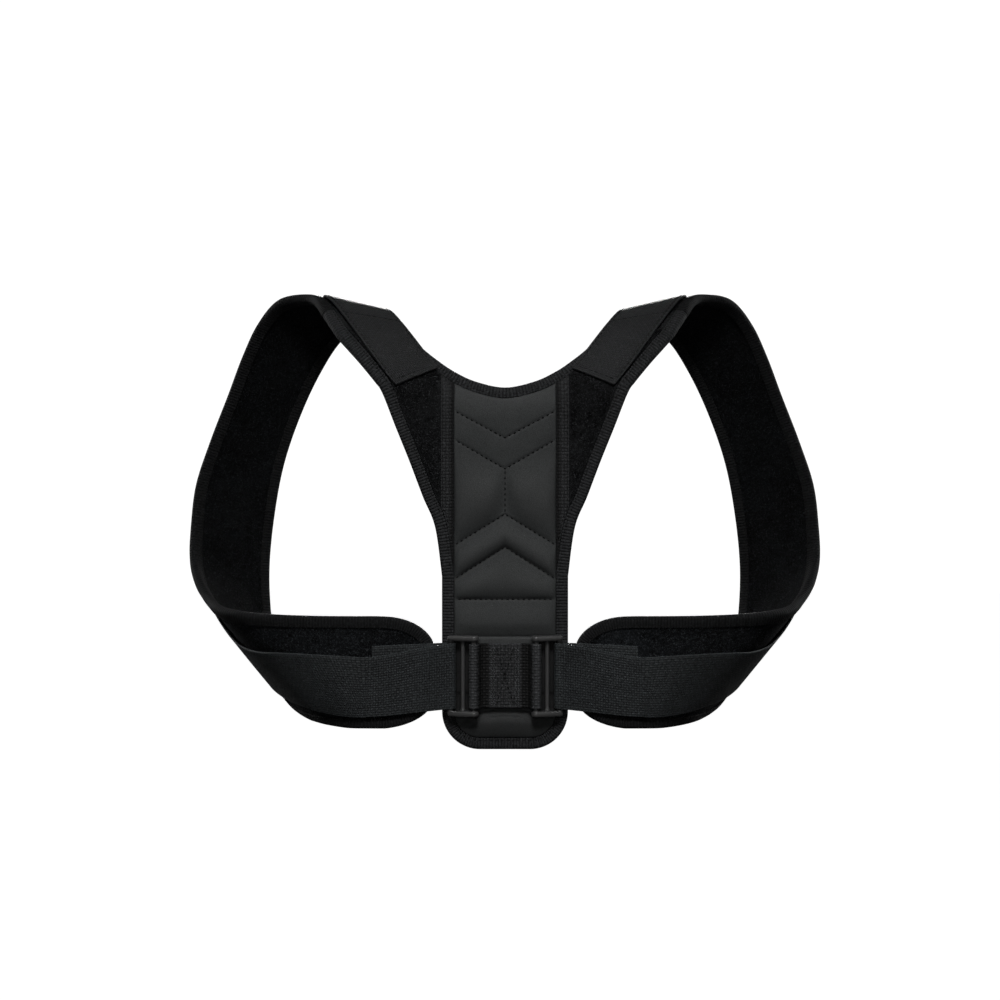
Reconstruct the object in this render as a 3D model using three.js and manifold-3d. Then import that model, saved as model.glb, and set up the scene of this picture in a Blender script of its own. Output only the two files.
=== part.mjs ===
// Clavicle brace, seen from behind as it is worn: a Y-shaped back panel, two padded arm loops,
// and two webbing straps that run from slide buckles at the waist over the pads.
// Millimetres, +Z up, +X to the right of someone looking at the back panel, +Y away from them.
// The origin is on the mid-plane, level with the top of the shoulders.
import * as THREE from "three";
import { mergeVertices } from "three/addons/utils/BufferGeometryUtils.js";
import Module from "manifold-3d";

const wasm = await Module();
wasm.setup();

// Overall sizes.
const halfSpan = 190; // mid-plane to the widest place of an arm loop
const loopDepth = 98; // back panel to the front of an arm loop
const loopHeight = 246; // top of the shoulder to the lower edge of the pads
const panelHeight = 258; // top of the shoulder to the end of the tongue

// Layers.
const paddingThickness = 3.6;
const tapeThickness = 0.7;
const tapeWidth = 6.8;
const tapePinch = 0.3; // how far the tape presses each face of the padding in at its edge
const skinThickness = 0.7;
const leatherThickness = 0.9;
const puffHeight = 1.2; // how far the leather stands up between two rows of stitches
const tabThickness = 1.2;
const webbingThickness = 1.4;
const gap = 0.3; // between two layers, and between neighbours in one layer
const rollEase = 0.15; // extra room under a layer that bends over the shoulder

// Back panel.
const waistWidth = 73;
const tongueCorner = 22;
const neckDrop = 48.6; // top of the shoulder to the bottom of the neck scoop
const shoulderRadius = 47; // the roll of the wings over the shoulders
const shoulderTop = -21.8; // crest of that roll, measured across it on the mid-plane
const shoulderRise = THREE.MathUtils.degToRad(13); // the roll rises outward
const crownWidth = 28; // half-width of the easing between the two rolls
const wingEnd = 56; // degrees of roll at which the wing meets the strap
const strapStart = 58;

// Side bands beside the leather.
const sideBandWidth = 7.2;

// Buckles and webbing.
const waistLevel = -214.5;
const sideWebbingWidth = 38;
const centreWebbingWidth = 37.5;
const buckleHeight = 46.7;
const buckleSlot = 40.3;
const outerBar = { x: 31.4, out: 7.6, radius: 1.4 };
const middleBar = { x: 24.3, out: 7.6, radius: 1.2 };
const innerBar = { x: 18, out: 11, radius: 1.3 };
const railMargin = 0.5;
const raisedRailEnd = 2.8; // rounding of the rails round the inner bar
const railFoot = 5.7; // how far the rails stand off the middle of the panel
const centreWebbingThickness = 1.3;
const centreStitched = 18; // length of the centre webbing that lies flat, between the two buckles
const foldLength = 90; // side webbing from the flat of the pad round the lower fold
const freeEndLength = 70; // side webbing past the fold, on the front of the strap

// Pads.
const padNose = 40.6; // mid-plane to the end of a pad
const padCornerLength = 32; // the rounding of a pad's nose, along the pad
const padCornerHeight = 20;
const padFlat = 49.4; // flat stretch of a pad, from its nose outward

// The arm edge of a wing, from the shoulder down to the waist.
// out is a share of halfSpan, down a share of panelHeight.
const wingRows = [
  { out: 0.446, down: 0.13 },
  { out: 0.397, down: 0.174 },
  { out: 0.373, down: 0.2 },
  { out: 0.333, down: 0.275 },
  { out: 0.291, down: 0.352 },
  { out: 0.25, down: 0.432 },
  { out: 0.213, down: 0.5 },
];
const waistTop = 0.61; // where the waist's straight sides begin, as a share of panelHeight

// The neck scoop, from its middle outward: out is a share of halfSpan, rise a share of neckDrop.
const neckRows = [
  { out: 0, rise: 0 },
  { out: 0.088, rise: 0.068 },
  { out: 0.152, rise: 0.179 },
];

// The strap's edges where it lies on the shoulder roll: places along the roll, as shares of halfSpan.
const rollRows = [
  { degrees: 36, arm: 0.473, body: 0.162 },
  { degrees: 44, arm: 0.503, body: 0.218 },
  { degrees: 58, arm: 0.545, body: 0.275 },
  { degrees: 72, arm: 0.573, body: 0.318 },
  { degrees: 90, arm: 0.612, body: 0.357 },
];

// The hook tab's two ends: degrees of roll and places along the roll, at its arm and body corners.
const tabFootEnd = { armDegrees: 10, bodyDegrees: 28, arm: 0.266, body: 0.152 };
const tabHeadEnd = { armDegrees: 104, bodyDegrees: 98, arm: 0.565, body: 0.35 };

// The strap's edges past the crest: down the front, round the lower fold and back along the pad.
// out is a share of halfSpan, ahead a share of loopDepth from the panel, down a share of loopHeight.
const loopRows = [
  { armOut: 0.718, armAhead: 0.62, armDown: -0.012, bodyOut: 0.438, bodyAhead: 0.735, bodyDown: 0.03 },
  { armOut: 0.788, armAhead: 0.74, armDown: 0.044, bodyOut: 0.524, bodyAhead: 0.86, bodyDown: 0.08 },
  { armOut: 0.838, armAhead: 0.8, armDown: 0.12, bodyOut: 0.594, bodyAhead: 0.93, bodyDown: 0.16 },
  { armOut: 0.886, armAhead: 0.827, armDown: 0.215, bodyOut: 0.66, bodyAhead: 0.97, bodyDown: 0.266 },
  { armOut: 0.944, armAhead: 0.827, armDown: 0.33, bodyOut: 0.714, bodyAhead: 0.99, bodyDown: 0.386 },
  { armOut: 0.988, armAhead: 0.806, armDown: 0.436, bodyOut: 0.747, bodyAhead: 1, bodyDown: 0.516 },
  { armOut: 1, armAhead: 0.755, armDown: 0.53, bodyOut: 0.764, bodyAhead: 0.99, bodyDown: 0.649 },
  { armOut: 0.998, armAhead: 0.673, armDown: 0.608, bodyOut: 0.758, bodyAhead: 0.939, bodyDown: 0.766 },
  { armOut: 0.972, armAhead: 0.541, armDown: 0.663, bodyOut: 0.734, bodyAhead: 0.816, bodyDown: 0.888 },
  { armOut: 0.93, armAhead: 0.388, armDown: 0.702, bodyOut: 0.675, bodyAhead: 0.592, bodyDown: 0.962 },
  { armOut: 0.889, armAhead: 0.224, armDown: 0.72, bodyOut: 0.609, bodyAhead: 0.347, bodyDown: 0.988 },
  { armOut: 0.814, armAhead: 0.102, armDown: 0.727, bodyOut: 0.54, bodyAhead: 0.153, bodyDown: 0.996 },
  { armOut: 0.713, armAhead: 0.036, armDown: 0.731, bodyOut: 0.475, bodyAhead: 0.051, bodyDown: 1 },
  { armOut: 0.604, armAhead: 0.005, armDown: 0.733, bodyOut: 0.432, bodyAhead: 0.01, bodyDown: 1 },
  { armOut: 0.49, armAhead: 0, armDown: 0.734, bodyOut: 0.395, bodyAhead: 0, bodyDown: 1 },
  { armOut: 0.35, armAhead: 0, armDown: 0.734, bodyOut: 0.35, bodyAhead: 0, bodyDown: 1 },
];

// The middle of the side webbing over the pad, from the buckle outward:
// reach is a share of padFlat from the pad's nose, drop a share of sideWebbingWidth below the buckle.
const overRows = [
  { reach: 0.19, drop: 0.08 },
  { reach: 0.39, drop: 0.126 },
  { reach: 0.6, drop: 0.168 },
  { reach: 0.8, drop: 0.195 },
];
const overEnd = { reach: 1, drop: 0.2 };
// The sewn end under it, from the end towards the buckle.
const underRows = [
  { reach: 0.737, drop: 0.058 },
  { reach: 0.42, drop: 0.036 },
  { reach: 0.11, drop: 0.016 },
];

// The quilt's rows of stitches, as shares of panelHeight: at the leather's sides and at its middle.
const quiltRows = [
  { side: 0.239, middle: 0.3 },
  { side: 0.303, middle: 0.369 },
  { side: 0.54, middle: 0.47, upright: true },
  { side: 0.616, middle: 0.544 },
  { side: 0.661, middle: 0.661 },
  { side: 0.745, middle: 0.745 },
  { side: 0.917, middle: 0.905 },
];

// Heights of the layers above the middle of the padding.
const paddingFace = paddingThickness / 2;
const layerFoot = paddingFace + gap;
const tapeFace = layerFoot + tapeThickness;
const coverFoot = tapeFace + gap;
const tabFoot = coverFoot + rollEase;
const edgeInset = tapeThickness + gap; // the padding's edge inside the tape's outer face
const fieldInset = tapeWidth + gap; // the edge of what lies inside the tape
const waistHalf = waistWidth / 2;
const leatherHalf = waistHalf - fieldInset;

// A closed body from vertices and triangles, turned so that its faces point out.
function closedBody(vertices, triangles) {
  let volume = 0;
  for (const [a, b, c] of triangles) {
    volume += vertices[a].dot(new THREE.Vector3().crossVectors(vertices[b], vertices[c]));
  }
  const index = triangles.flatMap(([a, b, c]) => (volume > 0 ? [a, b, c] : [a, c, b]));
  const geometry = new THREE.BufferGeometry();
  geometry.setAttribute("position", new THREE.Float32BufferAttribute(vertices.flatMap((v) => v.toArray()), 3));
  geometry.setIndex(index);
  return geometry;
}

// A layer with a wall: each place of the grid holds its outer and its inner point.
function layer(grid, joined = false) {
  const wide = grid[0].length;
  const vertices = grid.flat(2);
  const at = (i, j, face) => ((i % grid.length) * wide + j) * 2 + face;
  const triangles = [];
  const quad = (a, b, c, d) => triangles.push([a, b, c], [a, c, d]);
  const steps = joined ? grid.length : grid.length - 1;
  for (let i = 0; i < steps; i += 1) {
    for (let j = 0; j < wide - 1; j += 1) {
      quad(at(i, j, 0), at(i + 1, j, 0), at(i + 1, j + 1, 0), at(i, j + 1, 0));
      quad(at(i, j, 1), at(i, j + 1, 1), at(i + 1, j + 1, 1), at(i + 1, j, 1));
    }
    quad(at(i, 0, 1), at(i + 1, 0, 1), at(i + 1, 0, 0), at(i, 0, 0));
    quad(at(i, wide - 1, 0), at(i + 1, wide - 1, 0), at(i + 1, wide - 1, 1), at(i, wide - 1, 1));
  }
  if (!joined) {
    const last = grid.length - 1;
    for (let j = 0; j < wide - 1; j += 1) {
      quad(at(0, j, 0), at(0, j + 1, 0), at(0, j + 1, 1), at(0, j, 1));
      quad(at(last, j, 1), at(last, j + 1, 1), at(last, j + 1, 0), at(last, j, 0));
    }
  }
  return closedBody(vertices, triangles);
}

// A profile carried along rings of points, with flat ends.
function carriedProfile(rings, profile) {
  const sides = profile.length;
  const vertices = rings.flat();
  const triangles = [];
  for (let i = 0; i < rings.length - 1; i += 1) {
    for (let j = 0; j < sides; j += 1) {
      const next = (j + 1) % sides;
      triangles.push([i * sides + j, i * sides + next, (i + 1) * sides + next]);
      triangles.push([i * sides + j, (i + 1) * sides + next, (i + 1) * sides + j]);
    }
  }
  const caps = THREE.ShapeUtils.triangulateShape(profile, []);
  const turned = THREE.ShapeUtils.isClockWise(profile);
  const last = (rings.length - 1) * sides;
  for (const [a, b, c] of caps) {
    triangles.push(turned ? [a, b, c] : [a, c, b]);
    triangles.push(turned ? [last + a, last + c, last + b] : [last + a, last + b, last + c]);
  }
  return closedBody(vertices, triangles);
}

// The same body on the other side of the mid-plane.
function mirrored(geometry) {
  const copy = geometry.clone();
  copy.scale(-1, 1, 1);
  const index = copy.getIndex();
  for (let i = 0; i < index.count; i += 3) {
    const second = index.getX(i + 1);
    index.setX(i + 1, index.getX(i + 2));
    index.setX(i + 2, second);
  }
  return copy;
}

// The back's surface: flat, then rolled over each shoulder. n is the height above its middle.
function backSurface(x, z, n) {
  const reach = Math.abs(x);
  const across = reach < crownWidth ? (reach ** 2 / crownWidth + crownWidth) / 2 : reach;
  const rise = z * Math.cos(shoulderRise) - across * Math.sin(shoulderRise) - (shoulderTop - shoulderRadius);
  const turn = Math.asin(THREE.MathUtils.clamp(rise / shoulderRadius, 0, 0.999));
  const lean = Math.tan(turn);
  const easing = Math.sign(x) * Math.min(1, reach / crownWidth);
  const normal = new THREE.Vector3(-lean * Math.sin(shoulderRise) * easing, -1, lean * Math.cos(shoulderRise));
  return new THREE.Vector3(x, -shoulderRadius * Math.cos(turn), z).addScaledVector(normal.normalize(), n);
}

// A place on the shoulder roll, from its share of halfSpan along the roll and its degrees of roll.
function rollPoint(share, degrees) {
  const turn = THREE.MathUtils.degToRad(degrees);
  const along = share * halfSpan;
  const up = shoulderTop - shoulderRadius * (1 - Math.sin(turn));
  const x = along * Math.cos(shoulderRise) - up * Math.sin(shoulderRise);
  const z = along * Math.sin(shoulderRise) + up * Math.cos(shoulderRise);
  return new THREE.Vector3(x, -shoulderRadius * Math.cos(turn), z);
}

function rollRow(degrees) {
  const after = Math.max(1, rollRows.findIndex((row) => row.degrees >= degrees));
  const [a, b] = [rollRows[after - 1], rollRows[after]];
  const share = (degrees - a.degrees) / (b.degrees - a.degrees);
  const { lerp } = THREE.MathUtils;
  return { degrees, arm: lerp(a.arm, b.arm, share), body: lerp(a.body, b.body, share) };
}

// The strap's two edges as curves through its rows; the first row lies before the strap's start.
const leadIn = 14;
const strapRows = [strapStart - leadIn, strapStart].map(rollRow);
strapRows.push(...rollRows.filter((row) => row.degrees > strapStart));
const loopPoint = (out, ahead, down) =>
  new THREE.Vector3(out * halfSpan, ahead * loopDepth - shoulderRadius, -down * loopHeight);
const padRow = loopRows[loopRows.length - 1];
const armEdge = new THREE.CatmullRomCurve3([
  ...strapRows.map((row) => rollPoint(row.arm, row.degrees)),
  ...loopRows.map((row) => loopPoint(row.armOut, row.armAhead, row.armDown)),
  loopPoint(padNose / halfSpan, padRow.armAhead, padRow.armDown),
]);
const bodyEdge = new THREE.CatmullRomCurve3([
  ...strapRows.map((row) => rollPoint(row.body, row.degrees)),
  ...loopRows.map((row) => loopPoint(row.bodyOut, row.bodyAhead, row.bodyDown)),
  loopPoint(padNose / halfSpan, padRow.bodyAhead, padRow.bodyDown),
]);

// Lengths along the strap's middle, from the wing to the nose of the pad.
const strapSamples = 400;
const strapLengths = [0];
for (let i = 1; i <= strapSamples; i += 1) {
  const middle = (u) => armEdge.getPoint(u).add(bodyEdge.getPoint(u)).multiplyScalar(0.5);
  const step = middle(i / strapSamples).distanceTo(middle((i - 1) / strapSamples));
  strapLengths.push(strapLengths[i - 1] + step);
}
const strapLength = strapLengths[strapSamples];
const beginSample = strapSamples / (armEdge.points.length - 1);
const strapBegin = THREE.MathUtils.lerp(
  strapLengths[Math.floor(beginSample)], strapLengths[Math.ceil(beginSample)], beginSample % 1);

function strapShare(length) {
  const wanted = THREE.MathUtils.clamp(length, 0, strapLength);
  const after = Math.max(1, strapLengths.findIndex((value) => value >= wanted));
  const step = strapLengths[after] - strapLengths[after - 1];
  return (after - 1 + (wanted - strapLengths[after - 1]) / step) / strapSamples;
}

// Lengths along the strap up to an end, closer together where it bends.
function strapStations(end, steps) {
  const reach = end - strapBegin;
  const bendWeight = 40; // millimetres of strap that count as much as one radian of bend
  const middle = (length) => armEdge.getPoint(strapShare(length)).add(bodyEdge.getPoint(strapShare(length)));
  const nudge = reach / strapSamples;
  const heading = (length) => middle(length + nudge).sub(middle(length - nudge)).normalize();
  const measure = [0];
  for (let i = 1; i <= strapSamples; i += 1) {
    const bend = heading(strapBegin + i * nudge).angleTo(heading(strapBegin + (i - 1) * nudge));
    measure.push(measure[i - 1] + nudge + bendWeight * bend);
  }
  return Array.from({ length: steps + 1 }, (_, i) => {
    const wanted = (measure[strapSamples] * i) / steps;
    const after = Math.max(1, measure.findIndex((value) => value >= wanted - 1e-9));
    const share = (wanted - measure[after - 1]) / (measure[after] - measure[after - 1]);
    return strapBegin + (after - 1 + share) * nudge;
  });
}

function strapWidth(length) {
  const u = strapShare(length);
  return armEdge.getPoint(u).distanceTo(bodyEdge.getPoint(u));
}

function strapMiddle(length, side) {
  const u = strapShare(length);
  const arm = armEdge.getPoint(u);
  const body = bodyEdge.getPoint(u);
  const across = arm.clone().sub(body).normalize();
  return arm.add(body).multiplyScalar(0.5).addScaledVector(across, side);
}

// The strap's surface: length along it, side from its middle towards the arm, n above its middle.
function strapSurface(length, side, n) {
  const nudge = 0.5;
  const along = strapMiddle(length + nudge, side).sub(strapMiddle(length - nudge, side));
  const across = strapMiddle(length, side + nudge).sub(strapMiddle(length, side - nudge));
  const normal = new THREE.Vector3().crossVectors(across, along).normalize();
  return strapMiddle(length, side).addScaledVector(normal, n);
}

// Steps in a surface's own coordinates that lead one millimetre inward from each point of an edge.
function inwardSteps(surface, edge, hand) {
  const nudge = 0.05;
  return edge.map((point, i) => {
    const before = edge[Math.max(0, i - 1)];
    const after = edge[Math.min(edge.length - 1, i + 1)];
    const here = surface(point.x, point.y, 0);
    const first = surface(point.x + nudge, point.y, 0).sub(surface(point.x - nudge, point.y, 0));
    const second = surface(point.x, point.y + nudge, 0).sub(surface(point.x, point.y - nudge, 0));
    first.divideScalar(2 * nudge);
    second.divideScalar(2 * nudge);
    const tangent = surface(after.x, after.y, 0).sub(surface(before.x, before.y, 0));
    const normal = surface(point.x, point.y, 1).sub(here);
    const inward = new THREE.Vector3().crossVectors(normal, tangent).normalize().multiplyScalar(hand);
    const [a, b, c] = [first.dot(first), first.dot(second), second.dot(second)];
    const [p, q] = [inward.dot(first), inward.dot(second)];
    const scale = a * c - b * b;
    return new THREE.Vector2((p * c - q * b) / scale, (q * a - p * b) / scale);
  });
}

// Rows between two facing edges; under each edge's tape they follow the tape's own steps.
function paddedRows(surface, first, second, hand, columns, easing = (share) => share) {
  const under = [edgeInset, tapeWidth];
  const starts = under.map((distance) => insetEdge(surface, first, hand, distance));
  const ends = under.map((distance) => insetEdge(surface, second, hand, distance)).reverse();
  return first.map((_, i) => {
    const [a, b] = [starts[1][i], ends[0][second.length - 1 - i]];
    const field = Array.from({ length: columns + 1 }, (__, j) => a.clone().lerp(b, easing(j / columns)));
    return [starts[0][i], ...field, ends[1][second.length - 1 - i]];
  });
}

function insetEdge(surface, edge, hand, distance) {
  const steps = inwardSteps(surface, edge, hand);
  return edge.map((point, i) => point.clone().addScaledVector(steps[i], distance));
}

// A tape folded over an edge: its profile wraps the padding's edge on both faces.
function foldedTape(surface, edge, hand) {
  const high = tapeFace;
  const low = layerFoot;
  const profile = [
    [tapeWidth, high], [tapeThickness, high], [0, 0], [tapeThickness, -high], [tapeWidth, -high],
    [tapeWidth, -low], [tapeThickness, -low], [tapeThickness, low], [tapeWidth, low],
  ].map(([inward, n]) => new THREE.Vector2(inward, n));
  const steps = inwardSteps(surface, edge, hand);
  const rings = edge.map((point, i) =>
    profile.map((corner) =>
      surface(point.x + steps[i].x * corner.x, point.y + steps[i].y * corner.x, corner.y)));
  return carriedProfile(rings, profile);
}

// A layer on a surface between heights low and high, from rows of its own coordinates.
function surfaceLayer(surface, rows, low, high) {
  return layer(rows.map((row) => row.map((point) => [surface(point.x, point.y, high), surface(point.x, point.y, low)])));
}

// Padding between two edges, a little thinner at the edges that its tape presses together.
function padding(surface, rows) {
  return layer(rows.map((row) => row.map((point, j) => {
    const pressed = j === 0 || j === row.length - 1 ? tapePinch : 0;
    return [paddingFace - pressed, pressed - paddingFace].map((n) => surface(point.x, point.y, n));
  })));
}

// Evenly shared places from one point to another.
function between(start, end, steps) {
  return Array.from({ length: steps + 1 }, (_, i) => start.clone().lerp(end, i / steps));
}

// The finished outline of one half of the back panel, in x and z.
const neckBottom = new THREE.Vector2(0, -neckDrop);
const wingSeam = rollRow(wingEnd);
const flatPlace = (point) => new THREE.Vector2(point.x, point.z);
const rollPlace = (row, edge) => flatPlace(rollPoint(row[edge], row.degrees));
const neckPlaces = [
  ...neckRows.map((row) => new THREE.Vector2(row.out * halfSpan, neckBottom.y + row.rise * neckDrop)),
  ...rollRows.filter((row) => row.degrees < wingEnd).map((row) => rollPlace(row, "body")),
  rollPlace(wingSeam, "body"),
];
const mirrorPlace = (point) => new THREE.Vector2(-point.x, point.y);
const neckCurve = new THREE.SplineCurve([mirrorPlace(neckPlaces[1]), ...neckPlaces]); // level at the mid-plane
const armCurve = new THREE.SplineCurve([
  rollPlace(wingSeam, "arm"),
  ...rollRows.filter((row) => row.degrees < wingEnd).reverse().map((row) => rollPlace(row, "arm")),
  ...wingRows.map((row) => new THREE.Vector2(row.out * halfSpan, -row.down * panelHeight)),
  new THREE.Vector2(waistHalf, -waistTop * panelHeight),
]);

function tongueCorners(inset, steps) {
  const radius = tongueCorner - inset;
  return Array.from({ length: steps + 1 }, (_, i) => {
    const turn = (i / steps) * Math.PI / 2;
    const x = waistHalf - tongueCorner + radius * Math.cos(turn);
    return new THREE.Vector2(x, tongueCorner - panelHeight - radius * Math.sin(turn));
  });
}

const panelSteps = { arm: 16, side: 2, corner: 5, bottom: 1 };
const tongueArc = tongueCorners(0, panelSteps.corner);
const halfSide = [
  ...armCurve.getPoints(panelSteps.arm),
  ...between(new THREE.Vector2(waistHalf, -waistTop * panelHeight), tongueArc[0], panelSteps.side).slice(1),
  ...tongueArc.slice(1),
  ...between(tongueArc[panelSteps.corner], new THREE.Vector2(0, -panelHeight), panelSteps.bottom).slice(1),
];
const halfNeck = halfSide.map((_, i) => {
  const share = i / (halfSide.length - 1);
  return neckCurve.getPoint((1 + share * (neckPlaces.length - 1)) / neckPlaces.length);
});
const wholeEdge = (half) => [...half.slice(1).reverse().map(mirrorPlace), ...half];
const neckEdge = wholeEdge(halfNeck);
const sideEdge = [...halfSide, ...halfSide.slice(0, -1).reverse().map(mirrorPlace)];

// Places on an edge at even shares of its points.
function spread(edge, count) {
  return Array.from({ length: count }, (_, i) => {
    const place = (i / (count - 1)) * (edge.length - 1);
    const index = Math.min(edge.length - 2, Math.floor(place));
    return edge[index].clone().lerp(edge[index + 1], place - index);
  });
}

function backPanel() {
  const columns = 6;
  const rows = paddedRows(backSurface, neckEdge, sideEdge, -1, columns, (share) => share ** 2);
  return padding(backSurface, rows);
}

// The height of the leather's upper and lower edges at a distance from the mid-plane.
const neckInside = insetEdge(backSurface, neckEdge, -1, fieldInset);
function leatherTop(x) {
  const after = neckInside.findIndex((point) => point.x >= x);
  const [a, b] = [neckInside[after - 1], neckInside[after]];
  return THREE.MathUtils.mapLinear(x, a.x, b.x, a.y, b.y);
}

function leatherBottom(x) {
  const radius = tongueCorner - fieldInset;
  const past = Math.max(0, Math.abs(x) - (waistHalf - tongueCorner));
  return fieldInset - panelHeight + radius - Math.sqrt(Math.max(0, radius ** 2 - past ** 2));
}

// Quilted leather: each band between two rows of stitches is puffed up.
function leatherPanel() {
  const columns = 10;
  const bandSteps = 3;
  const pinch = 7; // half-width of the dip along the upright stitches
  const seam = (row, x) => {
    const share = Math.abs(x) / leatherHalf;
    return -panelHeight * THREE.MathUtils.lerp(row.middle, row.side, share);
  };
  const seams = [(x) => leatherTop(x), ...quiltRows.map((row) => (x) => seam(row, x)), (x) => leatherBottom(x)];
  const xs = Array.from({ length: columns + 1 }, (_, j) => -leatherHalf * Math.cos((j / columns) * Math.PI));
  const grid = [];
  for (let band = 0; band < seams.length - 1; band += 1) {
    const upright = quiltRows[band]?.upright;
    for (let i = band === 0 ? 0 : 1; i <= bandSteps; i += 1) {
      const share = i / bandSteps;
      grid.push(xs.map((x) => {
        const bottom = leatherBottom(x);
        const z = Math.max(bottom, THREE.MathUtils.lerp(seams[band](x), seams[band + 1](x), share));
        const puff = Math.sin(Math.PI * share) * (1 - (x / leatherHalf) ** 4);
        const dip = upright ? 1 - Math.exp(-((x / pinch) ** 2)) : 1;
        const face = layerFoot + leatherThickness + puffHeight * puff * dip;
        return [backSurface(x, z, face), backSurface(x, z, layerFoot)];
      }));
    }
  }
  return layer(grid);
}

// Where the tape on the arm edge ends inward, at a height z on the wing.
const armInside = insetEdge(backSurface, halfSide, -1, fieldInset);
function armInsideAt(z) {
  const after = armInside.findIndex((point) => point.y <= z);
  const [a, b] = [armInside[after - 1], armInside[after]];
  return THREE.MathUtils.mapLinear(z, a.y, b.y, a.x, b.x);
}

function heightWhereTapeMeets(x) {
  const after = armInside.findIndex((point) => point.x <= x);
  const [a, b] = [armInside[after - 1], armInside[after]];
  return THREE.MathUtils.mapLinear(x, a.x, b.x, a.y, b.y);
}

const bandInner = leatherHalf + gap;
const bandOuter = bandInner + sideBandWidth;

// The upright tape beside the leather, from the neck down to the tape on the waist.
function sideBand() {
  const steps = 12;
  const end = 0.4; // the least width left at the band's lower end
  const low = heightWhereTapeMeets(bandInner + end);
  const rows = Array.from({ length: steps + 1 }, (_, i) => {
    const share = i / steps;
    const inner = new THREE.Vector2(bandInner, THREE.MathUtils.lerp(leatherTop(bandInner), low, share));
    const z = THREE.MathUtils.lerp(leatherTop(bandOuter), low, share);
    return [inner, new THREE.Vector2(Math.min(bandOuter, armInsideAt(z)), z)];
  });
  return surfaceLayer(backSurface, rows, layerFoot, layerFoot + skinThickness);
}

// The loop fabric between the side band and the tape on the arm edge.
function wingPatch() {
  const steps = 12;
  const columns = 3;
  const left = bandOuter + gap;
  const low = heightWhereTapeMeets(left + gap);
  const neck = insetEdge(backSurface, halfNeck, -1, fieldInset + 2 * gap);
  const top = rollPlace(rollRow(50), "arm").lerp(rollPlace(rollRow(50), "body"), 0.5);
  const start = new THREE.Vector2(left, leatherTop(left));
  const inner = [...between(new THREE.Vector2(left, low), start, steps / 2)];
  const along = neck.filter((point) => point.x > left && point.y < top.y);
  inner.push(...spread([start, ...along], steps / 2 + 1).slice(1));
  const outer = spread(
    [new THREE.Vector2(left + gap, low), ...armInside.filter((p) => p.y > low && p.y < top.y).reverse()],
    inner.length,
  );
  const rows = inner.map((point, i) => between(point, outer[i], columns));
  const foot = layerFoot + rollEase;
  return surfaceLayer(backSurface, rows, foot, foot + skinThickness);
}

// The strap's finished outline: down the arm edge, round the nose and back along the body edge.
function strapOutline() {
  const steps = 32;
  const cornerSteps = 5;
  const straight = strapLength - padCornerLength;
  const armSide = strapStations(straight, steps).map((length) => new THREE.Vector2(length, strapWidth(length) / 2));
  const half = strapWidth(strapLength) / 2;
  for (let i = 1; i <= cornerSteps; i += 1) {
    const turn = (i / cornerSteps) * Math.PI / 2;
    const across = half - padCornerHeight * (1 - Math.cos(turn));
    armSide.push(new THREE.Vector2(straight + padCornerLength * Math.sin(turn), across));
  }
  return [...armSide, ...armSide.slice().reverse().map((point) => new THREE.Vector2(point.x, -point.y))];
}

// The padded strap inside its tape, with a rounded nose at the end of its pad.
function shoulderStrap() {
  const columns = 2;
  const outline = strapOutline();
  const count = outline.length / 2;
  const rows = paddedRows(strapSurface, outline.slice(0, count), outline.slice(count), 1, columns);
  return padding(strapSurface, rows);
}

// The hook tab over the seam between wing and strap: a straight strip wrapped over the roll.
function shoulderTab() {
  const steps = 16;
  const columns = 4;
  const { degToRad, lerp } = THREE.MathUtils;
  const grid = Array.from({ length: steps + 1 }, (_, i) => {
    const share = i / steps;
    const eased = Math.sin(share * Math.PI / 2) ** 0.9;
    const at = (key, amount) => lerp(tabFootEnd[key], tabHeadEnd[key], amount);
    return Array.from({ length: columns + 1 }, (__, j) => {
      const side = j / columns;
      const degrees = lerp(at("armDegrees", share), at("bodyDegrees", share), side);
      const place = rollPoint(lerp(at("arm", eased), at("body", eased), side), degrees);
      const turn = degToRad(degrees);
      const up = new THREE.Vector3(-Math.sin(shoulderRise), 0, Math.cos(shoulderRise));
      const normal = up.multiplyScalar(Math.sin(turn)).add(new THREE.Vector3(0, -Math.cos(turn), 0));
      return [tabFoot + tabThickness, tabFoot].map((n) => place.clone().addScaledVector(normal, n));
    });
  });
  return layer(grid);
}

// A ribbon from rows of upper and lower points along its middle, thick both ways.
function ribbon(rows, thickness, joined = false) {
  const count = rows.length;
  const grid = rows.map(([upper, lower], i) => {
    const before = rows[joined ? (i + count - 1) % count : Math.max(0, i - 1)];
    const after = rows[joined ? (i + 1) % count : Math.min(count - 1, i + 1)];
    const middle = (row) => row[0].clone().add(row[1]).multiplyScalar(0.5);
    const along = middle(after).sub(middle(before));
    const normal = new THREE.Vector3().crossVectors(along, upper.clone().sub(lower)).normalize();
    return [upper, lower].map((point) => [
      point.clone().addScaledVector(normal, thickness / 2),
      point.clone().addScaledVector(normal, -thickness / 2),
    ]);
  });
  return layer(grid, joined);
}

// An upright row of a ribbon, out from the middle of the panel.
function uprightRow(x, out, level, width) {
  const y = -shoulderRadius - out;
  return [new THREE.Vector3(x, y, level + width / 2), new THREE.Vector3(x, y, level - width / 2)];
}

// Upright rows round a bar, on its side towards or away from the mid-plane.
function rowsRoundBar(bar, facing, thickness, width, steps) {
  const radius = bar.radius + gap + thickness / 2;
  return Array.from({ length: steps + 1 }, (_, i) => {
    const turn = (i / steps) * Math.PI;
    return uprightRow(bar.x + facing * radius * Math.sin(turn), bar.out - radius * Math.cos(turn), waistLevel, width);
  });
}

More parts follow.
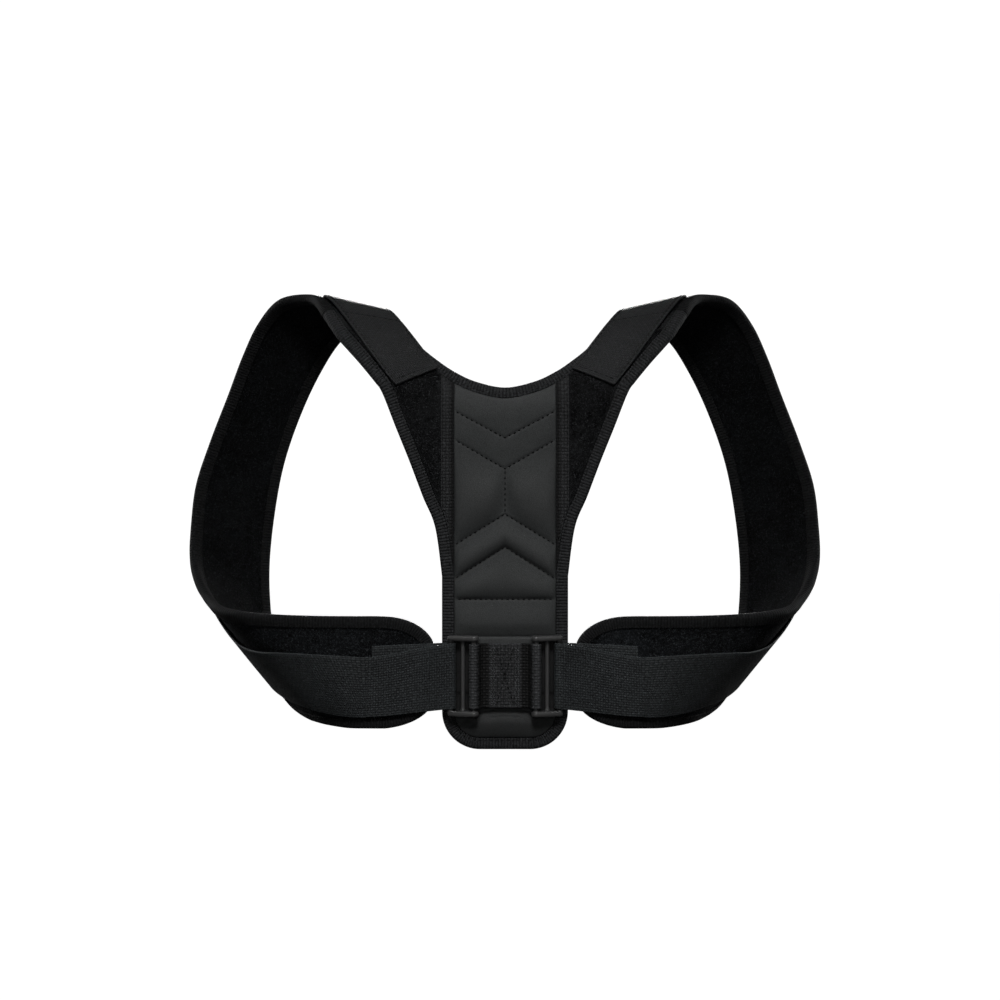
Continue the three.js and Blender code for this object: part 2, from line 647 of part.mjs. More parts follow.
// The side webbing: sewn to the pad, round the buckle's outer bar, back over the pad,
// round the lower fold and up the front of the strap to a free end.
function waistWebbing() {
  const width = sideWebbingWidth;
  const under = coverFoot + webbingThickness / 2;
  const over = under + webbingThickness + gap;
  const onPad = (row, out) =>
    uprightRow(padNose + row.reach * padFlat, out, waistLevel - row.drop * width, width);
  const rows = [
    ...underRows.map((row) => onPad(row, under)),
    ...rowsRoundBar(outerBar, -1, webbingThickness, width, 8),
    ...overRows.map((row) => onPad(row, over)),
  ];
  const middleOfPad = -(padRow.armDown + padRow.bodyDown) * loopHeight / 2;
  const side = waistLevel - overEnd.drop * width - middleOfPad;
  const first = strapLength - padFlat;
  const last = first - foldLength - freeEndLength;
  const steps = 26;
  const settling = 4; // rows over which the webbing comes down to the pad past its sewn end
  const path = between(new THREE.Vector2(first, side), new THREE.Vector2(last, side), steps);
  path.forEach((point, i) => point.setY(side * (1 - THREE.MathUtils.smoothstep(i, 0, steps))));
  path.forEach((point, i) => {
    const n = THREE.MathUtils.lerp(over, under, THREE.MathUtils.smoothstep(i, 0, settling));
    const [before, after] = [path[Math.max(0, i - 1)], path[Math.min(steps, i + 1)]];
    const along = strapMiddle(after.x, after.y).sub(strapMiddle(before.x, before.y));
    const across = strapMiddle(point.x, point.y + 1).sub(strapMiddle(point.x, point.y - 1));
    // The strap's own rows cross the webbing aslant, so they are longer than it is wide.
    const half = width / 2 / Math.sin(along.angleTo(across));
    rows.push([half, -half].map((reach) => strapSurface(point.x, point.y + reach, n)));
  });
  return ribbon(rows, webbingThickness);
}

// The centre webbing: stitched flat on the leather between the buckles, and looped over
// the raised inner bar of both.
function centreWebbing() {
  const thickness = centreWebbingThickness;
  const lower = layerFoot + leatherThickness + puffHeight + gap + thickness / 2;
  const upper = lower + thickness + gap;
  const radius = innerBar.radius + gap + thickness / 2;
  const level = (x, out) => uprightRow(x, out, waistLevel, centreWebbingWidth);
  // Direction from the bar's middle to where a straight run from the flat part touches its loop.
  const touch = (out, hand) => {
    const [along, rise] = [innerBar.x - centreStitched / 2, innerBar.out - out];
    return Math.atan2(rise, along) + hand * (Math.asin(radius / Math.hypot(along, rise)) + Math.PI / 2);
  };
  const steps = 8;
  const loop = Array.from({ length: steps + 1 }, (_, i) => {
    const turn = THREE.MathUtils.lerp(touch(upper, 1), touch(lower, -1), i / steps);
    return level(innerBar.x + radius * Math.cos(turn), innerBar.out + radius * Math.sin(turn));
  });
  const half = [level(0, upper), level(centreStitched / 2, upper), ...loop, level(centreStitched / 2, lower)];
  const other = half.slice(1).reverse().map((row) => row.map((p) => new THREE.Vector3(-p.x, p.y, p.z)));
  return ribbon([...half, level(0, lower), ...other], thickness, true);
}

function toManifold(geometry) {
  const plain = geometry.clone();
  plain.deleteAttribute("normal");
  plain.deleteAttribute("uv");
  const merged = mergeVertices(plain, 1e-4);
  return new wasm.Manifold(new wasm.Mesh({
    numProp: 3,
    vertProperties: new Float32Array(merged.getAttribute("position").array),
    triVerts: new Uint32Array(merged.getIndex().array),
  }));
}

function fromManifold(solid) {
  const mesh = solid.getMesh();
  const geometry = new THREE.BufferGeometry();
  geometry.setAttribute("position", new THREE.Float32BufferAttribute(mesh.vertProperties, 3));
  geometry.setIndex(new THREE.BufferAttribute(new Uint32Array(mesh.triVerts), 1));
  return geometry;
}

// One slide buckle: two rails joined by an outer bar, a middle bar and a raised inner bar.
function buckle() {
  const railThickness = (buckleHeight - buckleSlot) / 2;
  const profile = new THREE.Shape();
  const outerEnd = outerBar.radius + railMargin;
  const innerEnd = raisedRailEnd;
  profile.moveTo(innerBar.x, railFoot);
  profile.lineTo(outerBar.x, railFoot);
  profile.absarc(outerBar.x, outerBar.out, outerEnd, -Math.PI / 2, Math.PI / 2, false);
  profile.lineTo(innerBar.x, innerBar.out + innerEnd);
  profile.absarc(innerBar.x, innerBar.out, innerEnd, Math.PI / 2, Math.PI, false);
  profile.lineTo(innerBar.x - innerEnd, railFoot + innerEnd);
  profile.absarc(innerBar.x, railFoot + innerEnd, innerEnd, Math.PI, 1.5 * Math.PI, false);
  const settings = { depth: railThickness, bevelEnabled: false, curveSegments: 5 };
  // The profile is drawn in x and out; out points to -y.
  const rail = new THREE.ExtrudeGeometry(profile, settings).rotateX(Math.PI).translate(0, 0, railThickness);
  const pieces = [
    rail.clone().translate(0, 0, buckleSlot / 2),
    rail.clone().translate(0, 0, -buckleSlot / 2 - railThickness),
    ...[outerBar, middleBar, innerBar].map((bar) =>
      new THREE.CylinderGeometry(bar.radius, bar.radius, buckleSlot + railThickness, 12)
        .rotateX(Math.PI / 2)
        .translate(bar.x, -bar.out, 0)),
  ];
  const joined = pieces.map(toManifold).reduce((whole, piece) => whole.add(piece));
  return fromManifold(joined).translate(0, -shoulderRadius, waistLevel);
}

const finishes = {
  padding: { color: 0x0d0e11, roughness: 0.95, metalness: 0 },
  tape: { color: 0x121316, roughness: 0.85, metalness: 0 },
  leather: { color: 0x202223, roughness: 0.5, metalness: 0 },
  loopFabric: { color: 0x0f1015, roughness: 1, metalness: 0 },
  hookTab: { color: 0x1f2024, roughness: 0.8, metalness: 0 },
  webbing: { color: 0x16181b, roughness: 0.7, metalness: 0 },
  plastic: { color: 0x0c0c0d, roughness: 0.3, metalness: 0 },
};

const brace = new THREE.Group();

function addPiece(name, geometry, finish) {
  const piece = new THREE.Mesh(geometry, new THREE.MeshStandardMaterial(finishes[finish]));
  piece.name = name;
  brace.add(piece);
}

function addPair(name, geometry, finish) {
  addPiece(`${name}_right`, geometry, finish);
  addPiece(`${name}_left`, mirrored(geometry), finish);
}

addPiece("back_panel", backPanel(), "padding");
addPiece("neck_binding", foldedTape(backSurface, neckEdge, -1), "tape");
addPiece("edge_binding", foldedTape(backSurface, sideEdge, -1), "tape");
addPiece("leather_panel", leatherPanel(), "leather");
addPair("side_band", sideBand(), "tape");
addPair("wing_patch", wingPatch(), "loopFabric");
addPair("shoulder_strap", shoulderStrap(), "padding");
addPair("strap_binding", foldedTape(strapSurface, strapOutline(), 1), "tape");
addPair("shoulder_tab", shoulderTab(), "hookTab");
addPair("waist_webbing", waistWebbing(), "webbing");
addPiece("centre_webbing", centreWebbing(), "webbing");
addPair("buckle", buckle(), "plastic");

export default brace;
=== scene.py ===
import math

import bmesh
import bpy
import numpy as np
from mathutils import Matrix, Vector


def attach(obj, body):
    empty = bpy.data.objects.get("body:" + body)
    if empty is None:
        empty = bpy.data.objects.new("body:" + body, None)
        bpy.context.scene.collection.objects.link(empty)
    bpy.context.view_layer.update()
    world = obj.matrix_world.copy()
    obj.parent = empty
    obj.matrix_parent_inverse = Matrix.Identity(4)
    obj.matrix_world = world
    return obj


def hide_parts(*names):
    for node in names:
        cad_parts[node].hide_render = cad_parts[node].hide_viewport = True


# Clavicle brace seen from behind: the cloth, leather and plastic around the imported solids.
# Shapes are worked out in millimetres, x to the right, y away from the viewer, z up,
# and become metres when a mesh is made. n is always a height above the middle of the padding.

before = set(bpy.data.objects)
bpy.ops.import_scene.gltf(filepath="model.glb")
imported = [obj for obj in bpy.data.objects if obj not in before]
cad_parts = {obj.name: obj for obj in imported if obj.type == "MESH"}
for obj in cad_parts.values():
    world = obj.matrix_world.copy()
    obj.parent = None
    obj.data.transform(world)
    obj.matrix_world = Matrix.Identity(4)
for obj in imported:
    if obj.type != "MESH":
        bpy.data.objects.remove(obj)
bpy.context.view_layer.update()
metre = 0.001
print("frame loaded")

# ---- sizes shared by the pieces, as in the solids ----
body = dict(halfSpan=190.0, loopDepth=98.0, loopHeight=246.0, panelHeight=258.0)
shoulder = dict(radius=47.0, top=-21.8, rise=math.radians(13), crown=28.0, wingEnd=56.0)
layer = dict(padding=3.6, tape=0.7, skin=0.7, leather=0.9, tab=1.2, webbing=1.4, centre=1.3,
             gap=0.3, ease=0.15)
tape = dict(width=6.8, fold=2.1, pinch=0.3, stitchInset=1.4)
waist = dict(half=36.5, top=0.61, corner=22.0, level=-214.5)
paddingFace = layer["padding"] / 2
layerFoot = paddingFace + layer["gap"]
tapeFace = layerFoot + layer["tape"]
coverFoot = tapeFace + layer["gap"]
tabFoot = coverFoot + layer["ease"]
edgeInset = layer["tape"] + layer["gap"]
fieldInset = tape["width"] + layer["gap"]
leatherHalf = waist["half"] - fieldInset
bandInner = leatherHalf + layer["gap"]
bandWidth = 7.2
bandOuter = bandInner + bandWidth
sideName = {1: "right", -1: "left"}


# ---- numbers ----
def smooth(value):  # 0 to 1 with level ends
    value = np.clip(value, 0, 1)
    return value * value * (3 - 2 * value)


# Smooth unevenness from -1 to 1: seeded random numbers on a lattice, blended between its corners.
def unevenness(a, b, size, seed):
    lattice = np.random.default_rng(seed).uniform(-1, 1, (64, 64))
    a, b = np.broadcast_arrays(np.asarray(a, float) / size, np.asarray(b, float) / size)
    i, j = np.floor(a).astype(int), np.floor(b).astype(int)
    s, t = smooth(a - i), smooth(b - j)
    i0, i1, j0, j1 = i % 64, (i + 1) % 64, j % 64, (j + 1) % 64
    low = lattice[i0, j0] * (1 - s) + lattice[i1, j0] * s
    high = lattice[i0, j1] * (1 - s) + lattice[i1, j1] * s
    return low * (1 - t) + high * t


# A cubic on each span from its two ends a, b and their slopes m, n.
def spanPoint(a, b, m, n, t):
    return a + m * t + (3 * (b - a) - 2 * m - n) * t ** 2 + (2 * (a - b) + m + n) * t ** 3


# A curve through points whose slopes weigh the neighbours by the square roots of their distances.
def curveThrough(points, joined=False):
    points = np.asarray(points, float)
    if joined:
        p = np.vstack([points[-1:], points, points[:2]])
    else:
        p = np.vstack([2 * points[0] - points[1], points, 2 * points[-1] - points[-2]])
    step = np.sqrt(np.linalg.norm(np.diff(p, axis=0), axis=1))[:, None]
    d0, d1, d2 = step[:-2], step[1:-1], step[2:]
    p0, p1, p2, p3 = p[:-3], p[1:-2], p[2:-1], p[3:]
    leave = d1 * ((p1 - p0) / d0 - (p2 - p0) / (d0 + d1) + (p2 - p1) / d1)
    arrive = d1 * ((p2 - p1) / d1 - (p3 - p1) / (d1 + d2) + (p3 - p2) / d2)

    def at(share):
        place = np.clip(np.asarray(share, float), 0, 1) * len(p1)
        span = np.minimum(place.astype(int), len(p1) - 1)
        t = (place - span)[..., None]
        return spanPoint(p1[span], p2[span], leave[span], arrive[span], t)

    return at


# A flat curve through points whose slopes are half the step between the neighbours.
def evenCurveThrough(points):
    points = np.asarray(points, float)
    p = np.vstack([points[:1], points, points[-1:]])
    slope = (p[2:] - p[:-2]) / 2

    def at(share):
        place = np.clip(np.asarray(share, float), 0, 1) * (len(points) - 1)
        span = np.minimum(place.astype(int), len(points) - 2)
        t = (place - span)[..., None]
        return spanPoint(points[span], points[span + 1], slope[span], slope[span + 1], t)

    return at


def lengthsAlong(points):  # distance from the first point to each
    return np.concatenate([[0], np.cumsum(np.linalg.norm(np.diff(points, axis=0), axis=1))])


def resampled(points, count):  # the same line with evenly spaced points
    run = lengthsAlong(points)
    wanted = np.linspace(0, run[-1], count)
    return np.stack([np.interp(wanted, run, column) for column in points.T], -1)


def unit(vectors):
    return vectors / np.maximum(np.linalg.norm(vectors, axis=-1, keepdims=True), 1e-9)


# Places from low to high, closer together within a margin at both ends.
def tightEnds(low, high, count, margin):
    near = margin * np.array([0, 0.07, 0.25, 0.55])
    return np.concatenate([low + near, np.linspace(low + margin, high - margin, count), (high - near)[::-1]])


# ---- the surfaces that everything lies on ----
# The back: a flat sheet that rolls over each shoulder on a cylinder that rises outward.
def backPoint(x, z, n):
    x, z, n = np.broadcast_arrays(*(np.asarray(v, float) for v in (x, z, n)))
    reach = np.abs(x)
    crown, rise, radius = shoulder["crown"], shoulder["rise"], shoulder["radius"]
    across = np.where(reach < crown, (reach ** 2 / crown + crown) / 2, reach)
    climb = z * math.cos(rise) - across * math.sin(rise) - (shoulder["top"] - radius)
    turn = np.arcsin(np.clip(climb / radius, 0, 0.999))
    lean = np.tan(turn)
    easing = np.sign(x) * np.minimum(1, reach / crown)
    normal = np.stack([-lean * math.sin(rise) * easing, -np.ones_like(lean), lean * math.cos(rise)], -1)
    return np.stack([x, -radius * np.cos(turn), z], -1) + unit(normal) * n[..., None]


# A place on the shoulder roll, from its share of the half span and its degrees of roll.
def rollPoint(share, degrees):
    turn = np.radians(degrees)
    along = np.asarray(share, float) * body["halfSpan"]
    up = shoulder["top"] - shoulder["radius"] * (1 - np.sin(turn))
    cosine, sine = math.cos(shoulder["rise"]), math.sin(shoulder["rise"])
    ahead = -shoulder["radius"] * np.cos(turn)
    return np.stack([along * cosine - up * sine, ahead, along * sine + up * cosine], -1)


# Degrees of roll, then the arm edge's and the body edge's shares of the half span.
rollTable = np.array([
    [36, .473, .162], [44, .503, .218], [58, .545, .275], [72, .573, .318], [90, .612, .357],
])
# The loop's arm edge and then its body edge, each as shares of the half span, the depth and the height.
loopTable = np.array([
    [.718, .62, -.012, .438, .735, .03], [.788, .74, .044, .524, .86, .08],
    [.838, .8, .12, .594, .93, .16], [.886, .827, .215, .66, .97, .266],
    [.944, .827, .33, .714, .99, .386], [.988, .806, .436, .747, 1, .516],
    [1, .755, .53, .764, .99, .649], [.998, .673, .608, .758, .939, .766],
    [.972, .541, .663, .734, .816, .888], [.93, .388, .702, .675, .592, .962],
    [.889, .224, .72, .609, .347, .988], [.814, .102, .727, .54, .153, .996],
    [.713, .036, .731, .475, .051, 1], [.604, .005, .733, .432, .01, 1],
    [.49, 0, .734, .395, 0, 1], [.35, 0, .734, .35, 0, 1],
])
pad = dict(nose=40.6, cornerLength=32.0, cornerHeight=20.0, flat=49.4, overlap=2.5, rowReach=118, rowInset=9.3,
           rowStop=14)


def rollShare(degrees, column):
    return np.interp(degrees, rollTable[:, 0], rollTable[:, column])


def loopPoints(table):
    out, ahead, down = table.T
    return np.stack([out * body["halfSpan"], ahead * body["loopDepth"] - shoulder["radius"],
                     -down * body["loopHeight"]], -1)


def strapEdge(rollColumn, loopColumns):
    degrees = np.array([44.0, 58.0, 72.0, 90.0])
    loop = loopPoints(loopTable[:, loopColumns])
    nose = loop[-1:] * [0, 1, 1] + [pad["nose"], 0, 0]
    return curveThrough(np.vstack([rollPoint(rollShare(degrees, rollColumn), degrees), loop, nose]))


armEdge = strapEdge(1, slice(0, 3))
bodyEdge = strapEdge(2, slice(3, 6))
strapShares = np.linspace(0, 1, 401)
strapRun = lengthsAlong((armEdge(strapShares) + bodyEdge(strapShares)) / 2)
strapLength = strapRun[-1]
strapBegin = strapRun[20]  # the second of the 21 places, at 58 degrees of roll


def strapMiddle(length, side):
    share = np.interp(length, strapRun, strapShares)
    arm, inner = armEdge(share), bodyEdge(share)
    return (arm + inner) / 2 + unit(arm - inner) * side[..., None]


def strapWidth(length):
    share = np.interp(length, strapRun, strapShares)
    return np.linalg.norm(armEdge(share) - bodyEdge(share), axis=-1)


# The strap: length along its middle, side towards the arm edge, n along the crossed directions.
def strapPoint(length, side, n):
    length, side, n = np.broadcast_arrays(*(np.asarray(v, float) for v in (length, side, n)))
    nudge = 0.5
    along = strapMiddle(length + nudge, side) - strapMiddle(length - nudge, side)
    across = strapMiddle(length, side + nudge) - strapMiddle(length, side - nudge)
    return strapMiddle(length, side) + unit(np.cross(across, along)) * n[..., None]


# Steps in a surface's own coordinates that lead one millimetre inward from each point of an edge.
def inwardSteps(place, edge, hand):
    nudge = 0.05
    a, b = edge.T
    longer = np.vstack([edge[:1], edge, edge[-1:]])
    first = (place(a + nudge, b, 0) - place(a - nudge, b, 0)) / (2 * nudge)
    second = (place(a, b + nudge, 0) - place(a, b - nudge, 0)) / (2 * nudge)
    tangent = place(*longer[2:].T, 0) - place(*longer[:-2].T, 0)
    inward = unit(np.cross(place(a, b, 1) - place(a, b, 0), tangent)) * hand
    aa, ab, bb = (first * first).sum(-1), (first * second).sum(-1), (second * second).sum(-1)
    p, q = (inward * first).sum(-1), (inward * second).sum(-1)
    scale = aa * bb - ab * ab
    return np.stack([(p * bb - q * ab) / scale, (q * aa - p * ab) / scale], -1)


def insetEdge(place, edge, hand, distance):
    return edge + inwardSteps(place, edge, hand) * distance


# A ribbon's surface from its two edges: length along it, across from its middle, n off its face.
def ribbonPlace(upper, lower, width, joined=False):
    middle = (upper + lower) / 2
    if joined:
        before, after = np.roll(middle, 1, 0), np.roll(middle, -1, 0)
    else:
        before, after = np.vstack([middle[:1], middle[:-1]]), np.vstack([middle[1:], middle[-1:]])
    acrossWay = (upper - lower) / width
    facing = unit(np.cross(after - before, acrossWay))
    if joined:
        middle, acrossWay, facing = (np.vstack([v, v[:1]]) for v in (middle, acrossWay, facing))
    run = lengthsAlong(middle)

    def place(length, across, n):
        length, across, n = np.broadcast_arrays(*(np.asarray(v, float) for v in (length, across, n)))
        take = lambda rows: np.stack([np.interp(length, run, column) for column in rows.T], -1)
        return take(middle) + take(acrossWay) * across[..., None] + take(facing) * n[..., None]

    return place, run[-1]


# ---- meshes ----
# A mesh from points in millimetres, turned so that its faces point out, with its cloth coordinates.
def makeMesh(name, points, faces, cloth, wear=None, shade=None):
    points, faces = np.asarray(points, float).reshape(-1, 3), [np.asarray(f) for f in faces]
    volume = 0
    for block in faces:
        a, b, c = points[block[:, 0]], points[block[:, 1]], points[block[:, 2]]
        volume += (a * np.cross(b, c)).sum()
        if block.shape[1] == 4:
            volume += (a * np.cross(c, points[block[:, 3]])).sum()
    if volume < 0:
        faces = [block[:, ::-1] for block in faces]
    mesh = bpy.data.meshes.new(name)
    mesh.from_pydata((points * metre).tolist(), [], [face for block in faces for face in block.tolist()])
    corner = np.zeros(len(mesh.loops), np.int32)
    mesh.loops.foreach_get("vertex_index", corner)
    uv = mesh.uv_layers.new(name="cloth")
    uv.data.foreach_set("uv", np.asarray(cloth, np.float32).reshape(-1, 2)[corner].ravel())
    # The first mark holds real wear and also painted highlights; the second holds painted shade.
    for label, values in (("wear", wear), ("shade", shade)):
        mark = mesh.attributes.new(label, "FLOAT", "POINT")
        values = np.zeros(len(points)) if values is None else np.asarray(values, float).reshape(-1)
        mark.data.foreach_set("value", values.astype(np.float32))
    mesh.validate()
    return mesh


def tidyMesh(mesh, sharp=None):
    work = bmesh.new()
    work.from_mesh(mesh)
    bmesh.ops.remove_doubles(work, verts=work.verts, dist=1e-6)
    bmesh.ops.dissolve_degenerate(work, edges=work.edges, dist=1e-7)
    work.to_mesh(mesh)
    work.free()
    mesh.shade_smooth()
    if sharp:
        mesh.set_sharp_from_angle(angle=math.radians(sharp))
    return mesh


def addObject(name, data):
    made = bpy.data.objects.new(name, data)
    bpy.context.scene.collection.objects.link(made)
    return made


def addPiece(name, mesh, material, nodes=()):
    piece = addObject(name, mesh)
    mesh.materials.append(material)
    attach(piece, "root")
    if nodes:
        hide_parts(*nodes)
    return piece


# A closed body from an outer and an inner grid: each row is a ring, and both ends are capped.
def shell(name, outer, inner, cloth, wear=None, joined=False, shade=None):
    ring = np.concatenate([outer, inner[:, ::-1]], axis=1)
    uv = np.concatenate([cloth, cloth[:, ::-1]], axis=1)
    pair = lambda v: v if isinstance(v, tuple) else (v, v)  # outer and inner face
    worn, shade = (None if v is None else np.concatenate([pair(v)[0], pair(v)[1][:, ::-1]], axis=1)
                   for v in (wear, shade))
    rows, around = ring.shape[:2]
    at = np.arange(rows * around).reshape(rows, around)
    here, ahead = (at, np.roll(at, -1, 0)) if joined else (at[:-1], at[1:])
    faces = [np.stack([here, np.roll(here, -1, 1), np.roll(ahead, -1, 1), ahead], -1).reshape(-1, 4)]
    if not joined:
        k = np.arange(around // 2 - 1)
        first, last = at[0], at[-1]
        faces.append(np.stack([first[k + 1], first[k], first[around - 1 - k], first[around - 2 - k]], -1))
        faces.append(np.stack([last[k], last[k + 1], last[around - 2 - k], last[around - 1 - k]], -1))
    return tidyMesh(makeMesh(name, ring, faces, uv, worn, shade))


# How thick a layer of cloth is near its rim: a quarter circle over its rounding.
def rimShare(distance, rounding):
    return np.sqrt(np.clip(1 - (1 - np.clip(distance / rounding, 0, 1)) ** 2, 0, 1))


# A layer on a surface: a and b are grids of its coordinates, distance is to the nearest rim,
# relief raises both faces, and the rim is rounded.
def clothLayer(name, place, a, b, foot, thickness, distance, relief, cloth=None, shade=None):
    half, wearReach = thickness / 2, 1.2
    share = rimShare(distance, half)
    outer = place(a, b, foot + half + relief + half * share)
    inner = place(a, b, foot + half + relief - half * share)
    uv = np.stack([a, b], -1) if cloth is None else cloth
    return shell(name, outer, inner, uv, np.clip(1 - distance / wearReach, 0, 1), shade=shade)


# Stitches along a path: each is a thread that rises out of the cloth, lies on it and dips back in.
def stitchRings(place, path, height, length=2.5, space=0.7, radius=0.2, face=1.0):
    path = np.asarray(path, float)
    points = place(*path.T, height)
    run = lengthsAlong(points)
    count = max(1, int((run[-1] + space) / (length + space)))
    begin = np.arange(count) * (length + space) + (run[-1] - count * (length + space) + space) / 2
    t = np.linspace(0, 1, 6)
    at = begin[:, None] + t * length
    a, b = (np.interp(at, run, column) for column in path.T)
    rise = face * radius * (1.5 * np.sin(np.pi * t) - 0.75)
    centre = place(a, b, height + rise)
    up = unit(place(a, b, height + 0.5) - place(a, b, height - 0.5)) * face
    along = unit(np.gradient(centre, axis=1))
    across = unit(np.cross(along, up))
    turn = np.linspace(0, 2 * np.pi, 7)[:-1]
    wide = radius * np.array([0, 0.85, 1, 1, 0.85, 0])
    ring = np.cos(turn)[:, None] * up[:, :, None] * 0.8 + np.sin(turn)[:, None] * across[:, :, None]
    return centre[:, :, None] + ring * wide[None, :, None, None]


def stitchPiece(name, groups, material):
    rings = np.concatenate(groups)
    count, stations, sides = rings.shape[:3]
    at = np.arange(count * stations * sides).reshape(count, stations, sides)
    here, ahead = at[:, :-1], at[:, 1:]
    faces = np.stack([here, np.roll(here, -1, 2), np.roll(ahead, -1, 2), ahead], -1).reshape(-1, 4)
    u = np.broadcast_to(np.linspace(0, 2.5, stations)[None, :, None], (count, stations, sides))
    v = np.broadcast_to(np.linspace(0, 1, sides)[None, None, :], (count, stations, sides))
    mesh = tidyMesh(makeMesh(name, rings, [faces], np.stack([u, v], -1)))
    return addPiece(name, mesh, material)


# ---- shader groups, each made once ----
def feed(tree, socket, value):  # a link from another socket, or a plain value
    if isinstance(value, bpy.types.NodeSocket):
        tree.links.new(value, socket)
    else:
        socket.default_value = value


def addNode(tree, kind, inputs=None, **settings):
    made = tree.nodes.new(kind)
    for key, value in settings.items():
        setattr(made, key, value)
    for key, value in (inputs or {}).items():
        feed(tree, made.inputs[key], value)
    return made


def calc(tree, operation, *values, clamp=False):
    made = addNode(tree, "ShaderNodeMath", dict(enumerate(values)), operation=operation, use_clamp=clamp)
    return made.outputs[0]


def times(tree, first, second):
    return calc(tree, "MULTIPLY", first, second)


def plus(tree, first, second, clamp=False):
    return calc(tree, "ADD", first, second, clamp=clamp)


def noise(tree, place, scale, detail, **more):
    inputs = {"Vector": place, "Scale": scale, "Detail": detail, **more}
    return addNode(tree, "ShaderNodeTexNoise", inputs).outputs["Fac"]


def between(tree, value, low, high, toLow=0.0, toHigh=1.0):  # a value's range stretched onto another
    made = addNode(tree, "ShaderNodeMapRange", {"Value": value, "From Min": low, "From Max": high,
                                                "To Min": toLow, "To Max": toHigh})
    return made.outputs["Result"]


def blend(tree, factor, first, second):
    return addNode(tree, "ShaderNodeMix", {0: factor, 6: first, 7: second}, data_type="RGBA").outputs[2]


# A colour laid over another by a share of where it is marked.
def stain(tree, where, share, under, over):
    return blend(tree, times(tree, where, share), under, over)


def startGroup(name, inputs, outputs):
    tree = bpy.data.node_groups.new(name, "ShaderNodeTree")
    for label, kind, value in inputs:
        socket = tree.interface.new_socket(label, in_out="INPUT", socket_type=kind)
        if value is not None:
            socket.default_value = value
    for label in outputs:
        tree.interface.new_socket(label, in_out="OUTPUT", socket_type="NodeSocketFloat")
    return tree, tree.nodes.new("NodeGroupInput").outputs, tree.nodes.new("NodeGroupOutput").inputs


number, arrow = "NodeSocketFloat", "NodeSocketVector"
stripInputs = [("Along", number, 0.0), ("Across", number, 0.0), ("Pitch", number, 1.0)]
grainInputs = [("Vector", arrow, None), ("Size", number, 1.0)]


# Over-and-under threads: two sets of ridges that take turns in lying on top.
def weaveGroup():
    tree, given, result = startGroup("over and under threads", stripInputs, ["Height"])
    counts = [calc(tree, "DIVIDE", given[key], given["Pitch"]) for key in ("Along", "Across")]
    waves = [calc(tree, "SINE", times(tree, count, math.pi)) for count in counts]
    a, b = (calc(tree, "ABSOLUTE", wave) for wave in waves)
    warp = times(tree, calc(tree, "POWER", a, 0.3), b)
    weft = times(tree, a, calc(tree, "POWER", b, 0.3))
    over = calc(tree, "GREATER_THAN", times(tree, *waves), 0.0)
    under = calc(tree, "SUBTRACT", 1.0, over)
    taken = plus(tree, times(tree, warp, over), times(tree, times(tree, weft, 0.72), under))
    tree.links.new(taken, result["Height"])
    return tree


# Ribs across a tape: rounded ridges, with a fine thread twist along each.
def ribGroup():
    tree, given, result = startGroup("crosswise ribs", stripInputs, ["Height"])
    place = calc(tree, "DIVIDE", given["Along"], given["Pitch"])
    wave = calc(tree, "ABSOLUTE", calc(tree, "SINE", times(tree, place, math.pi)))
    twist = plus(tree, times(tree, given["Across"], 9.0), times(tree, given["Along"], 5.0))
    fine = times(tree, calc(tree, "SINE", twist), 0.12)
    tree.links.new(plus(tree, calc(tree, "POWER", wave, 0.7), fine), result["Height"])
    return tree


# Knitted loops: columns of small V shapes.
def knitGroup():
    tree, given, result = startGroup("knitted loops", stripInputs, ["Height"])
    column = calc(tree, "FRACT", calc(tree, "DIVIDE", given["Across"], given["Pitch"]))
    leg = calc(tree, "ABSOLUTE", calc(tree, "SUBTRACT", column, 0.5))
    row = plus(tree, calc(tree, "DIVIDE", given["Along"], given["Pitch"]), times(tree, leg, 1.3))
    loop = calc(tree, "ABSOLUTE", calc(tree, "SINE", times(tree, row, math.pi)))
    valley = calc(tree, "POWER", calc(tree, "SINE", times(tree, column, math.pi)), 0.5)
    tree.links.new(times(tree, valley, plus(tree, times(tree, loop, 0.55), 0.45)), result["Height"])
    return tree


# Brushed pile: short curled fibres as stretched noise, with darker flecks where it parts.
def pileGroup():
    tree, given, result = startGroup("brushed pile", grainInputs, ["Height", "Fleck"])
    place, scale = given["Vector"], calc(tree, "DIVIDE", 1.0, given["Size"])
    curls = noise(tree, place, scale, 6.0, Roughness=0.72, Distortion=2.2)
    tufts = addNode(tree, "ShaderNodeTexVoronoi", {"Vector": place, "Scale": times(tree, scale, 1.3)})
    height = plus(tree, times(tree, curls, 0.8), times(tree, tufts.outputs["Distance"], -0.45))
    parting = noise(tree, place, times(tree, scale, 0.33), 2.0)
    tree.links.new(height, result["Height"])
    tree.links.new(between(tree, parting, 0.56, 0.66), result["Fleck"])
    return tree


# Leather pebbles: rounded cells with creases between them, and a slower unevenness.
def pebbleGroup():
    tree, given, result = startGroup("leather pebbles", grainInputs, ["Height", "Crease"])
    place, scale = given["Vector"], calc(tree, "DIVIDE", 1.0, given["Size"])
    warp = addNode(tree, "ShaderNodeTexNoise", {"Vector": place, "Scale": 0.6, "Detail": 3.0})
    bent = addNode(tree, "ShaderNodeVectorMath", {0: place, 1: warp.outputs["Color"]}, operation="ADD")
    cells = addNode(tree, "ShaderNodeTexVoronoi", {"Vector": bent.outputs[0], "Scale": scale},
                    feature="DISTANCE_TO_EDGE").outputs["Distance"]
    domes = calc(tree, "POWER", between(tree, cells, 0.0, 0.35), 0.6)
    slow = noise(tree, place, 0.22, 4.0)
    tree.links.new(plus(tree, times(tree, domes, 0.7), times(tree, slow, 0.5)), result["Height"])
    tree.links.new(between(tree, cells, 0.0, 0.16, 1.0, 0.0), result["Crease"])
    return tree


